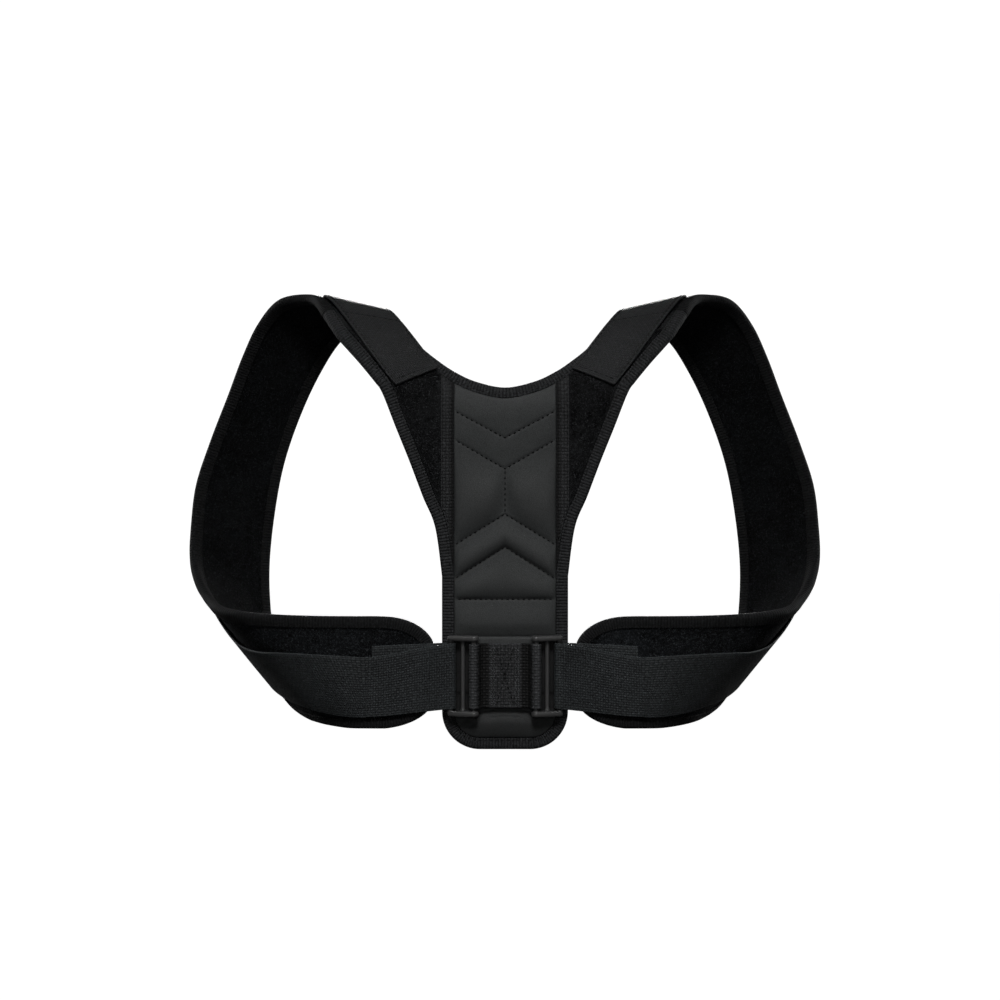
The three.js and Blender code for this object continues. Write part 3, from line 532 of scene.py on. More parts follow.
# Use: broad patches of tone, fine mottling, pale fibres and a few specks of lint.
def useGroup():
    tree, given, result = startGroup("tone and lint", [("Vector", arrow, None), ("Patch", number, 30.0)],
                                     ["Tone", "Mottle", "Fibre", "Lint"])
    place = given["Vector"]
    slow = noise(tree, place, calc(tree, "DIVIDE", 1.0, given["Patch"]), 3.0)
    fine = noise(tree, place, 0.8, 4.0, Roughness=0.7)
    hairs = noise(tree, place, 0.95, 3.0, Roughness=0.75, Distortion=1.5)
    specks = addNode(tree, "ShaderNodeTexVoronoi", {"Vector": place, "Scale": 0.16}).outputs["Distance"]
    for label, value, low, high in (("Tone", slow, 0.32, 0.68), ("Mottle", fine, 0.36, 0.64),
                                    ("Fibre", hairs, 0.53, 0.66), ("Lint", specks, 0.035, 0.02)):
        tree.links.new(between(tree, value, low, high), result[label])
    return tree


groups = dict(weave=weaveGroup(), ribs=ribGroup(), knit=knitGroup(), pile=pileGroup(), pebble=pebbleGroup(),
              use=useGroup())


def placeGroup(tree, kind, inputs):
    return addNode(tree, "ShaderNodeGroup", inputs, node_tree=groups[kind]).outputs


def colour(level, tint=(1.0, 1.0, 1.0)):
    return (level * tint[0], level * tint[1], level * tint[2], 1)


def attribute(tree, label):
    return addNode(tree, "ShaderNodeAttribute", attribute_name=label).outputs["Fac"]


# A new material, the place on its object in millimetres, and the tone and lint there.
def startMaterial(name, look):
    material = bpy.data.materials.new(name)
    material.use_nodes = True
    tree = material.node_tree
    objectPlace = addNode(tree, "ShaderNodeTexCoord").outputs["Object"]
    scaled = addNode(tree, "ShaderNodeMapping", {"Vector": objectPlace, "Scale": (1000, 1000, 1000)})
    place = scaled.outputs[0]
    return material, tree, place, placeGroup(tree, "use", {"Vector": place, "Patch": look["patch"]})


# The finished colour, darkened towards near-black by painted shade where the mesh marks it in recesses, on
# slopes and on inner faces, with its roughness and bump.
def finishMaterial(material, look, finished, rough, height):
    tree = material.node_tree
    shader = next(n for n in tree.nodes if n.type == "BSDF_PRINCIPLED")
    bump = addNode(tree, "ShaderNodeBump", {"Strength": look["bump"], "Distance": look["depth"] * metre,
                                            "Height": height})
    values = {"Base Color": blend(tree, attribute(tree, "shade"), finished, colour(0.002)), "Roughness": rough,
              "Normal": bump.outputs["Normal"], **look["shading"]}
    for key, value in values.items():
        feed(tree, shader.inputs[key], value)
    return material


lintColour = colour(0.2)


# A cloth finish: threads or pile set its height, and height, tone, lint, wear and painted highlight set its
# colour.
def clothFinish(name, kind, pitch, valley, ridge, toned, bump, depth, rough, specular, **more):
    look = dict(bump=bump, depth=depth, roughDrop=0.1, patch=28.0, toneShare=0.5, mottleShare=0.35,
                wearShare=0.35, wornTo=toned, lintShare=0.0, low=0.1, high=0.9, fibreShare=0.4,
                fibre=tuple(2.2 * v for v in toned[:3]) + (1,), shading={"Specular IOR Level": specular})
    look.update(more)
    material, tree, place, use = startMaterial(name, look)
    if kind == "pile":
        made = placeGroup(tree, "pile", {"Vector": place, "Size": pitch})
    else:
        uv = addNode(tree, "ShaderNodeUVMap", uv_map="cloth").outputs[0]
        split = addNode(tree, "ShaderNodeSeparateXYZ", {0: uv}).outputs
        made = placeGroup(tree, kind, {"Along": split["X"], "Across": split["Y"], "Pitch": pitch})
    height = made["Height"]
    shown = blend(tree, between(tree, height, look["low"], look["high"]), valley, ridge)
    shown = stain(tree, use["Tone"], look["toneShare"], shown, toned)
    shown = stain(tree, use["Mottle"], look["mottleShare"], shown, valley)
    if kind == "pile":
        shown = stain(tree, made["Fleck"], 0.7, shown, valley)
    shown = stain(tree, use["Fibre"], look["fibreShare"], shown, look["fibre"])
    shown = stain(tree, attribute(tree, "wear"), look["wearShare"], shown, look["wornTo"])
    shown = stain(tree, use["Lint"], look["lintShare"], shown, lintColour)
    rough = calc(tree, "SUBTRACT", rough, times(tree, height, look["roughDrop"]), clamp=True)
    return finishMaterial(material, look, shown, rough, height)


def leatherFinish(name, look):
    material, tree, place, use = startMaterial(name, look)
    pebble = placeGroup(tree, "pebble", {"Vector": place, "Size": look["pitch"]})
    shown = blend(tree, use["Tone"], look["ridge"], look["toned"])
    shown = stain(tree, pebble["Crease"], 0.45, shown, look["valley"])
    shown = stain(tree, attribute(tree, "wear"), look["wearShare"], shown, look["wornTo"])
    shown = stain(tree, use["Lint"], look["lintShare"], shown, lintColour)
    mottled = between(tree, use["Mottle"], 0.0, 1.0, look["rough"] - 0.06, look["rough"] + 0.06)
    rough = plus(tree, mottled, times(tree, pebble["Crease"], 0.12), clamp=True)
    return finishMaterial(material, look, shown, rough, pebble["Height"])


# Moulded plastic: a fine spark texture, faint scratches, and a lighter colour where the mesh marks a painted
# highlight.
def plasticFinish(name, look):
    material, tree, place, use = startMaterial(name, look)
    spark = noise(tree, place, 6.0, 3.0)
    drawn = addNode(tree, "ShaderNodeMapping", {"Vector": place, "Scale": (2.5, 2.5, 0.12),
                                                "Rotation": (0.2, 0.3, 0)})
    scratched = between(tree, noise(tree, drawn.outputs[0], 1.6, 5.0), 0.62, 0.7)
    shown = blend(tree, use["Tone"], look["ridge"], look["toned"])
    shown = stain(tree, attribute(tree, "wear"), look["wearShare"], shown, look["wornTo"])
    shown = stain(tree, scratched, 0.25, shown, look["wornTo"])
    mottled = between(tree, use["Mottle"], 0.0, 1.0, look["rough"] - 0.05, look["rough"] + 0.07)
    rough = plus(tree, mottled, times(tree, scratched, 0.15), clamp=True)
    return finishMaterial(material, look, shown, rough, spark)


cool, teal = (1, 1.04, 1.1), (1, 1.14, 1.2)
finish = dict(
    padding=clothFinish(
        "padding knit", "knit", 1.5, colour(0.004), colour(0.016, cool), colour(0.02, cool), 0.9, 0.3,
        0.95, 0.1),
    fleece=clothFinish(
        "brushed pad cloth", "pile", 1.5, colour(0.001), colour(0.017, (1, 1.12, 1.3)),
        colour(0.021, (1, 1.15, 1.3)), 1.0, 1.2, 0.97, 0.08, lintShare=0.45, fibreShare=0.95,
        fibre=colour(0.055, (1, 1.1, 1.2))),
    edgeTape=clothFinish(
        "ribbed edge tape", "ribs", 1.75, colour(0.003), colour(0.027, cool), colour(0.033, cool), 1.0, 0.5,
        0.85, 0.2, mottleShare=0.6, fibreShare=0.6),
    # Ribbed tape like the edge tape but darker all over: painted shade for the straps, whose front faces get
    # little light.
    shadedStrapTape=clothFinish(
        "ribbed strap tape with painted shade", "ribs", 1.75, colour(0.0025), colour(0.0115, cool), colour(0.015, cool), 1.0, 0.4,
        0.9, 0.14, mottleShare=0.6, fibreShare=0.5),
    bandTape=clothFinish(
        "mesh side tape", "weave", 1.9, colour(0.003), colour(0.026, cool), colour(0.032, cool), 1.0, 0.45,
        0.8, 0.25, mottleShare=0.6, fibreShare=0.6),
    loopFabric=clothFinish(
        "loop fabric", "pile", 1.4, colour(0.001), colour(0.016, cool), colour(0.021, cool), 1.0, 1.0,
        1.0, 0.06, lintShare=0.4, mottleShare=0.5, fibreShare=0.9),
    hookTab=clothFinish(
        "hook tab", "weave", 1.45, colour(0.007), colour(0.025, cool), colour(0.03, cool), 0.9, 0.3,
        0.8, 0.25, mottleShare=0.45, fibreShare=0.4),
    webbing=clothFinish(
        "webbing weave", "weave", 1.5, colour(0.003, teal), colour(0.028, teal), colour(0.035, teal), 1.0, 0.35,
        0.7, 0.25, mottleShare=0.65, fibreShare=0.6, wearShare=0.5, wornTo=colour(0.045, teal)),
    centreWebbing=clothFinish(
        "stitched webbing weave", "weave", 1.7, colour(0.003), colour(0.036, cool), colour(0.045, cool),
        1.0, 0.45, 0.7, 0.25, mottleShare=0.7, fibreShare=0.7, wearShare=0.5, wornTo=colour(0.055, cool)),
    thread=clothFinish(
        "sewing thread", "ribs", 0.5, colour(0.0012), colour(0.004), colour(0.005), 0.6, 0.08, 0.8, 0.15),
    webThread=clothFinish(
        "webbing thread", "ribs", 0.5, colour(0.02), colour(0.075, cool), colour(0.09, cool), 0.6, 0.08,
        0.7, 0.3),
    leather=leatherFinish("quilted leather", dict(
        pitch=0.85, patch=34.0, valley=colour(0.014), ridge=colour(0.035, (1, 1.07, 1.08)),
        toned=colour(0.041, (1, 1.06, 1.06)), wornTo=colour(0.045), wearShare=0.2, lintShare=0.3, rough=0.6,
        bump=0.5, depth=0.12,
        shading={"Specular IOR Level": 0.22, "Coat Weight": 0.02, "Coat Roughness": 0.45})),
    # The buckle plastic's lighter colour is a painted highlight where the mesh marks it, and also the colour of
    # its scratches.
    plastic=plasticFinish("moulded buckle", dict(
        patch=9.0, ridge=colour(0.014), toned=colour(0.02), wornTo=colour(0.075), wearShare=0.6, rough=0.4,
        bump=0.25, depth=0.05, shading={"Specular IOR Level": 0.55})),
)
print("finishes made")

# ---- the panel's outline, one half, from the wing's end down to the tongue ----
wingTable = np.array([
    [.446, .13], [.397, .174], [.373, .2], [.333, .275], [.291, .352], [.25, .432], [.213, .5],
])
neckTable = np.array([[0, 0], [.088, .068], [.152, .179]])
neckDrop = 48.6


def flatRoll(degrees, column):
    return rollPoint(rollShare(degrees, column), degrees)[..., [0, 2]]


seamDegrees = np.array([36.0, 44.0, shoulder["wingEnd"]])
waistTop = [waist["half"], -waist["top"] * body["panelHeight"]]
neckHalf = np.vstack([
    np.stack([neckTable[:, 0] * body["halfSpan"], neckDrop * (neckTable[:, 1] - 1)], -1),
    flatRoll(seamDegrees, 2)])
neckLine = evenCurveThrough(np.vstack([neckHalf[1:2] * [-1, 1], neckHalf]))  # level at the mid-plane
neckCurve = lambda share: neckLine((1 + share * (len(neckHalf) - 1)) / len(neckHalf))
armCurve = evenCurveThrough(np.vstack([
    flatRoll(seamDegrees[::-1], 1), wingTable * [body["halfSpan"], -body["panelHeight"]], waistTop]))


def tongueArc(share):
    turn = share * np.pi / 2
    radius = waist["corner"]
    return np.stack([waist["half"] - radius + radius * np.cos(turn),
                     radius - body["panelHeight"] - radius * np.sin(turn)], -1)


# Places along the half outline count 24 steps: 16 on the arm edge, 2 on the side, 5 on the corner, 1 below.
def halfOutline(steps):
    arcStart, arcEnd = tongueArc(np.array([0.0, 1.0]))
    bottom = np.array([0, -body["panelHeight"]])
    part = lambda first, last: np.clip((steps - first) / (last - first), 0, 1)
    line = lambda share, a, b: np.asarray(a) + share[:, None] * (np.asarray(b) - np.asarray(a))
    parts = [armCurve(part(0, 16)), line(part(16, 18), waistTop, arcStart), tongueArc(part(18, 23)),
             line(part(23, 24), arcEnd, bottom)]
    return np.select([(steps <= last)[:, None] for last in (16, 18, 23, 24)], parts)


outlineSteps = np.concatenate([np.linspace(0, 16, 129)[:-1], np.linspace(16, 18, 25)[:-1],
                               np.linspace(18, 23, 25)[:-1], np.linspace(23, 24, 9)])
halfSide = halfOutline(outlineSteps)
halfNeck = neckCurve(outlineSteps / 24)
mirror = np.array([-1.0, 1.0])
neckEdge = np.vstack([halfNeck[:0:-1] * mirror, halfNeck])
sideEdge = np.vstack([halfSide, halfSide[-2::-1] * mirror])


farInside = 99.0  # a distance beyond every rounding


# Rows of places between two facing edges; near each edge they follow its inward steps.
def facingRows(place, first, second, hand, columns, easing):
    near = np.array([edgeInset, edgeInset + 0.25, edgeInset + 0.8, edgeInset + 1.6, 4.6, tape["width"]])
    steps = inwardSteps(place, first, hand)
    backSteps = inwardSteps(place, second, hand)[::-1]
    start = first[:, None] + steps[:, None] * near[None, :, None]
    end = second[::-1][:, None] + backSteps[:, None] * near[::-1][None, :, None]
    share = easing(np.linspace(0, 1, columns + 1)[1:-1])[None, :, None]
    field = start[:, -1:] * (1 - share) + end[:, :1] * share
    distance = np.concatenate([near, np.full(columns - 1, farInside), near[::-1]]) - edgeInset
    return np.concatenate([start, field, end], axis=1), distance


def paddingPiece(name, place, rows, distance, seed, side=1, paintedInnerShade=0.0):
    a, b = rows[..., 0], rows[..., 1]
    reach = np.broadcast_to(distance, a.shape)
    face = (paddingFace - tape["pinch"] * (1 - smooth(reach / 7))) * rimShare(reach, 1.5)
    soft = 0.05 * unevenness(a, b, 5, seed) * smooth(reach / 6)
    outer, inner = place(a, b, face + soft), place(a, b, -face - soft)
    # The inner face can take painted shade, a darker colour standing in for its shadow.
    return shell(name, outer * [side, 1, 1], inner * [side, 1, 1], rows, shade=(0 * face, paintedInnerShade + 0 * face))


panelRows, panelDistance = facingRows(backPoint, neckEdge, sideEdge, -1, 26, lambda share: share ** 1.6)
panel = addPiece("panel_padding", paddingPiece("panel_padding", backPoint, panelRows, panelDistance, 12),
                 finish["padding"], ["back_panel"])


# ---- folded tape: a rounded fold over the padding's edge, pinched along its row of stitches ----
def foldProfile():
    width, fold = tape["width"], tape["fold"]
    flat = np.concatenate([width - np.array([0, 0.1, 0.4, 0.9, 1.4, 1.9, 2.6]), [3.1, fold]])
    quarter = np.linspace(0, np.pi / 2, 8)[1:]
    dip = 0.16 * np.exp(-((flat - (width - tape["stitchInset"])) / 0.45) ** 2)
    bulge = 0.12 * np.exp(-((flat - 3.4) / 1.2) ** 2)
    middle = (layerFoot + tapeFace) / 2
    outerFlat = np.concatenate([[middle, tapeFace - 0.1], np.full(7, tapeFace)]) - dip + bulge * (flat < 6)
    innerFlat = np.concatenate([[middle, layerFoot + 0.1], np.full(7, layerFoot)])
    outerFlat[0] = middle
    outerHalf = np.concatenate([np.stack([flat, outerFlat], -1),
                                np.stack([fold * (1 - np.sin(quarter)), tapeFace * np.cos(quarter)], -1)])
    inward = layer["tape"] + (fold - layer["tape"]) * (1 - np.sin(quarter))
    innerHalf = np.concatenate([np.stack([flat, innerFlat], -1),
                                np.stack([inward, layerFoot * np.cos(quarter)], -1)])
    whole = lambda half: np.vstack([half, (half * [1, -1])[-2::-1]])
    return whole(outerHalf), whole(innerHalf)


def tapePiece(name, place, edge, hand, nodes, seed, side=1, cover="edgeTape"):
    steps = inwardSteps(place, edge, hand)
    run = lengthsAlong(place(*edge.T, 0))
    outer, inner = foldProfile()

    def carried(profile, swell):
        inward, n = profile[:, 0], profile[:, 1]
        places = edge[:, None] + steps[:, None] * inward[None, :, None]
        wave = 1 + swell * unevenness(run[:, None], n[None, :] * 3, 6.5, seed)
        return place(places[..., 0], places[..., 1], n * wave) * [side, 1, 1]

    across = lengthsAlong(outer)
    cloth = np.stack(np.broadcast_arrays(run[:, None], across[None, :]), -1)
    wear = np.broadcast_to(np.exp(-(outer[:, 0] / 1.0) ** 2), cloth.shape[:2])
    mesh = shell(name, carried(outer, 0.035), carried(inner, 0.0), cloth, wear)
    piece = addPiece(name, mesh, finish[cover], nodes)
    return piece


def tapeStitches(place, edge, hand, side=1):
    path = insetEdge(place, edge, hand, tape["width"] - tape["stitchInset"])
    height = tapeFace - 0.12
    return [stitchRings(place, path, face * height, face=face) * [side, 1, 1] for face in (1.0, -1.0)]


tapePiece("neck_tape", backPoint, neckEdge, -1, ["neck_binding"], 21)
tapePiece("edge_tape", backPoint, sideEdge, -1, ["edge_binding"], 22)
panelStitches = tapeStitches(backPoint, neckEdge, -1) + tapeStitches(backPoint, sideEdge, -1)
stitchPiece("panel_tape_stitches", panelStitches, finish["thread"])
print("panel and its tape made")

# ---- quilted leather ----
quilt = dict(puffs=[0.35, 0.55, 3.3, 2.9, 2.6, 2.1, 1.2, 2.6], coveredPuff=1.2, coveredTop=4.4, columns=110,
             rows=380)
# Each seam's share of the panel's height at its sides and at the mid-plane.
quiltTable = np.array([
    [.239, .3], [.303, .369], [.54, .47], [.616, .544], [.661, .661], [.745, .745], [.917, .905],
])
neckInside = insetEdge(backPoint, neckEdge, -1, fieldInset)


def leatherTop(x):
    return np.interp(x, neckInside[:, 0], neckInside[:, 1])


def leatherBottom(x):
    radius = waist["corner"] - fieldInset
    past = np.maximum(0, np.abs(x) - (waist["half"] - waist["corner"]))
    return fieldInset - body["panelHeight"] + radius - np.sqrt(np.maximum(0, radius ** 2 - past ** 2))


def seamHeight(index, x):
    side, middle = quiltTable[index]
    return -body["panelHeight"] * (middle + (side - middle) * np.abs(x) / leatherHalf)


# The leather's face: between two seams it swells as a lens, and it dips along the upright seam.
# Each lens is (4 h (1 - h)) ** p with h the share of the way down, raised to a power that makes it hang.
def leatherFace(x, z):
    x, z = np.broadcast_arrays(np.asarray(x, float), np.asarray(z, float))
    seams = [seamHeight(index, x) for index in range(len(quiltTable))]
    off = np.stack([leatherTop(x)] + seams + [leatherBottom(x)]) - z
    above = np.minimum(np.min(np.where(off >= 0, off, 999), axis=0), 200)
    below = np.minimum(np.min(np.where(off <= 0, -off, 999), axis=0), 200)
    nearest, tall = np.minimum(above, below), np.maximum(above + below, 1e-3)
    share = above / tall
    band = (off >= 0).sum(0)
    covered = smooth((-184 - z) / 8) * smooth((z + 243) / 8)
    loose = np.asarray(quilt["puffs"])[np.clip(band - 1, 0, 7)]
    amount = loose + (quilt["coveredPuff"] - loose) * covered
    # A puff hangs towards its lower seam: it leaves the upper one gently and ends steeply.
    hung = share ** np.where(band < 3, 1.2, np.where(band < 7, 1.6, 0.75))
    lens = np.clip(4 * hung * (1 - hung), 0, 1) ** np.where((band > 2) & (band < 6), 1.0, 0.75)
    lens = lens * np.minimum(1, tall / 20) ** 0.5
    onTongue = z < -225
    toSide = leatherHalf - np.abs(x)
    reach = np.where(onTongue, leatherHalf * (0.66 + 0.32 * share), leatherHalf)  # the tongue's puff widens
    sides = 1 - (np.abs(x) / reach) ** np.where(onTongue, 2.6, 8.0)
    sides = np.clip(sides, 0, 1) ** np.where(onTongue, 0.9, 0.6)
    valley = 2.6 + 6.4 * share ** 1.5  # half-width of the valley along the upright seam
    upright = (band == 3) * np.exp(-(np.abs(x) / valley) ** 1.6) * smooth(nearest / 2)
    rimReach = np.minimum(nearest, toSide)
    groove = np.where(onTongue, 0.1, 0.26) * np.exp(-(nearest / 0.8) ** 2) * smooth(toSide / 1.2)
    pucker = np.where(onTongue, 0.03, 0.14) * unevenness(x * 1.0, z * 0.4, 2.4, 31)
    pucker = pucker * np.exp(-rimReach / 3.5) * smooth(rimReach / 1.2)
    slack = 0.22 * unevenness(x, z, 13, 32) * smooth(rimReach / 6)
    swell = amount * lens * sides * (1 - 0.9 * upright)
    face = layerFoot + layer["leather"] + swell + pucker + slack * lens - groove
    return np.where(covered > 0.5, np.minimum(face, quilt["coveredTop"]), face)


def leatherPoint(x, z, n):
    x, z, n = np.broadcast_arrays(*(np.asarray(v, float) for v in (x, z, n)))
    return backPoint(x, z, leatherFace(x, z) + n)


leatherX = tightEnds(-leatherHalf, leatherHalf, quilt["columns"], 0.6)[None, :]
leatherShare = tightEnds(0, 1, quilt["rows"], 0.6 / 200)[:, None]
leatherZ = leatherTop(leatherX) * (1 - leatherShare) + leatherBottom(leatherX) * leatherShare
leatherX = np.broadcast_to(leatherX, leatherZ.shape)
rimReach = np.minimum(np.minimum(leatherTop(leatherX) - leatherZ, leatherZ - leatherBottom(leatherX)),
                      leatherHalf - np.abs(leatherX))
rim = rimShare(rimReach, 0.45)
middleOfRim = layerFoot + layer["leather"] / 2
leatherHeight = leatherFace(leatherX, leatherZ)
leatherOuter = backPoint(leatherX, leatherZ, middleOfRim + (leatherHeight - middleOfRim) * rim)
leatherInner = backPoint(leatherX, leatherZ, middleOfRim - layer["leather"] / 2 * rim)
crest = np.clip((leatherHeight - 4.0) / 1.2, 0, 1)
# Painted shade: dark on the leather under the buckles and webbing, and lighter on the tongue below them,
# standing in for their shadow.
shadowUnderBuckle = (smooth((np.abs(leatherX) - 13) / 3) * smooth((-193 - leatherZ) / 2)
                * smooth((leatherZ + 237) / 3))
leatherShade = np.maximum(0.85 * shadowUnderBuckle, 0.35 * smooth((-233 - leatherZ) / 3))
leather = addPiece("quilted_leather", shell("quilted_leather", leatherOuter, leatherInner,
                                            np.stack([leatherX, leatherZ], -1), crest, shade=leatherShade),
                   finish["leather"], ["leather_panel"])


def quiltStitches():
    sewn = lambda x, z: stitchRings(leatherPoint, np.stack([x, z], -1), 0.12, length=2.0, space=1.1,
                                    radius=0.34)
    x = np.linspace(-leatherHalf + 0.8, leatherHalf - 0.8, 121)
    upright = np.linspace(seamHeight(1, 0) - 0.6, seamHeight(2, 0) + 0.6, 40)
    return [sewn(x, seamHeight(index, x)) for index in range(5)] + [sewn(0 * upright, upright)]


stitchPiece("quilt_stitches", quiltStitches(), finish["thread"])
print("leather made")

# ---- side bands and wing patches ----
armInside = insetEdge(backPoint, halfSide, -1, fieldInset)


def armInsideAt(z):
    return np.interp(z, armInside[::-1, 1], armInside[::-1, 0])


def heightWhereTapeMeets(x):
    after = int(np.argmax(armInside[:, 0] <= x))
    a, b = armInside[after - 1], armInside[after]
    return a[1] + (b[1] - a[1]) * (x - a[0]) / (b[0] - a[0])


def sideBandPiece(side):
    name = "mesh_band_" + sideName[side]
    low = heightWhereTapeMeets(bandInner + 0.4)
    share = tightEnds(0, 1, 110, 0.5 / 115)[:, None]
    innerZ = leatherTop(bandInner) * (1 - share) + low * share
    outerZ = leatherTop(bandOuter) * (1 - share) + low * share
    outerX = np.minimum(bandOuter, armInsideAt(outerZ))
    step = tightEnds(0, 1, 9, 0.5 / bandWidth)[None, :]
    x, z = bandInner * (1 - step) + outerX * step, innerZ * (1 - step) + outerZ * step
    distance = np.minimum(np.minimum(x - bandInner, outerX - x), np.minimum(leatherTop(x) - z, z - low))
    relief = 0.1 * unevenness(z, x, 9, 41 + side) * smooth(distance / 2)
    # Painted shadow along the band's edge beside the leather.
    shadowBesideLeather = 0.8 * (1 - smooth((x - bandInner - 1.5) / 1.1))
    mesh = clothLayer(name, backPoint, x * side, z, layerFoot, layer["skin"], distance, relief,
                      cloth=np.stack([z, x], -1), shade=shadowBesideLeather)
    piece = addPiece(name, mesh, finish["bandTape"], [name.replace("mesh", "side")])
    area = float(np.trapz((outerX - bandInner)[:, 0], -outerZ[:, 0])) * metre ** 2
    long = float(leatherTop(bandOuter) - low) * metre
    made = []
    for inset in (1.0, -1.0):
        pathZ = np.linspace(leatherTop(bandInner + 1) - 1.5, low + 14, 60)
        pathX = inset + (bandInner + 0 * pathZ if inset > 0 else np.minimum(bandOuter, armInsideAt(pathZ)))
        made.append(stitchRings(backPoint, np.stack([pathX * side, pathZ], -1), layerFoot + layer["skin"]))
    return made


bandStitches = sideBandPiece(1) + sideBandPiece(-1)
stitchPiece("band_stitches", bandStitches, finish["thread"])


def wingPatchPiece(side):
    name = "loop_patch_" + sideName[side]
    gap, topDegrees = layer["gap"], 50.0
    left = bandOuter + gap
    low = heightWhereTapeMeets(left + gap)
    neck = insetEdge(backPoint, halfNeck, -1, fieldInset + 2 * gap)
    top = ((flatRoll(topDegrees, 1) + flatRoll(topDegrees, 2)) / 2)[1]
    neck = neck[(neck[:, 0] > left) & (neck[:, 1] < top)]
    arm = armInside[(armInside[:, 1] > low) & (armInside[:, 1] < top)][::-1]
    inner = resampled(np.vstack([[left, low], [left, leatherTop(left)], neck]), 150)
    outer = resampled(np.vstack([[left + gap, low], arm]), 150)
    wide = np.linalg.norm(outer - inner, axis=1)
    step = tightEnds(0, 1, 34, 0.03)[None, :, None]
    places = inner[:, None] * (1 - step) + outer[:, None] * step
    run = lengthsAlong((inner + outer) / 2)
    ends = np.minimum(run, run[-1] - run)[:, None]
    distance = np.minimum(np.minimum(step[..., 0], 1 - step[..., 0]) * wide[:, None], ends)
    x, z = places[..., 0], places[..., 1]
    relief = 0.09 * unevenness(x, z, 1.3, 51 + side) + 0.1 * unevenness(x, z, 8, 53 + side)
    relief = (relief + 0.05) * smooth(distance / 1.5)
    foot = layerFoot + layer["ease"]
    mesh = clothLayer(name, backPoint, x * side, z, foot, layer["skin"], distance, relief)
    piece = addPiece(name, mesh, finish["loopFabric"], [name.replace("loop", "wing")])


wingPatchPiece(1)
wingPatchPiece(-1)
print("side bands and wing patches made")


# ---- padded straps and their tape ----
def strapOutline():
    straight = strapLength - pad["cornerLength"]
    lengths = np.linspace(strapBegin - pad["overlap"], straight, 300)  # closes the seam to the wing
    arm = np.stack([lengths, strapWidth(lengths) / 2], -1)
    half = strapWidth(np.array(strapLength)) / 2
    turn = np.linspace(0, np.pi / 2, 25)[1:]
    corner = np.stack([straight + pad["cornerLength"] * np.sin(turn),
                       half - pad["cornerHeight"] * (1 - np.cos(turn))], -1)
    return np.vstack([arm, corner])


strapHalf = strapOutline()
strapBack = (strapHalf * [1, -1])[::-1]
noseSide = strapHalf[-1, 1]
noseLine = np.stack([np.full(7, strapLength), np.linspace(noseSide, -noseSide, 9)[1:-1]], -1)
strapTapeEdge = np.vstack([strapHalf, noseLine, strapBack])
strapRows, strapDistance = facingRows(strapPoint, strapHalf, strapBack, 1, 26, lambda share: share)


def strapPieces(side):
    end = sideName[side]
    # The straps' inner faces get painted shade.
    mesh = paddingPiece("strap_padding_" + end, strapPoint, strapRows, strapDistance, 62 + side, side,
                        paintedInnerShade=0.55)
    piece = addPiece("strap_padding_" + end, mesh, finish["fleece"], ["shoulder_strap_" + end])
    tapePiece("strap_tape_" + end, strapPoint, strapTapeEdge, 1, ["strap_binding_" + end], 71 + side, side,
              "shadedStrapTape")
    onPad = strapHalf[strapHalf[:, 0] > strapLength - pad["rowReach"]]
    line = insetEdge(strapPoint, onPad, 1, pad["rowInset"])[:-pad["rowStop"]]
    row = stitchRings(strapPoint, line, paddingFace, length=1.9, space=1.1, radius=0.24) * [side, 1, 1]
    return tapeStitches(strapPoint, strapTapeEdge, 1, side) + [row]


stitchPiece("strap_tape_stitches", strapPieces(1) + strapPieces(-1), finish["thread"])
print("straps made")

# ---- hook tabs over the shoulders ----
tab = dict(foot=(10.0, 28.0, .266, .152), head=(104.0, 98.0, .565, .35), seam=0.57, stitchInset=2.2, lift=0.5,
           liftFade=5.0)


# The tab: its two ends on the roll, its side edges eased between them, heights off the roll's axis.
def tabPoint(share, across, n):
    share, across, n = np.broadcast_arrays(*(np.asarray(v, float) for v in (share, across, n)))
    eased = np.sin(np.clip(share, 0, 1) * np.pi / 2) ** 0.9
    mix = lambda key, amount: tab["foot"][key] * (1 - amount) + tab["head"][key] * amount
    degrees = mix(0, share) * (1 - across) + mix(1, share) * across
    place = rollPoint(mix(2, eased) * (1 - across) + mix(3, eased) * across, degrees)
    turn = np.radians(degrees)
    rise = shoulder["rise"]
    normal = np.stack([-np.sin(turn) * math.sin(rise), -np.cos(turn), np.sin(turn) * math.cos(rise)], -1)
    return place + normal * n[..., None]


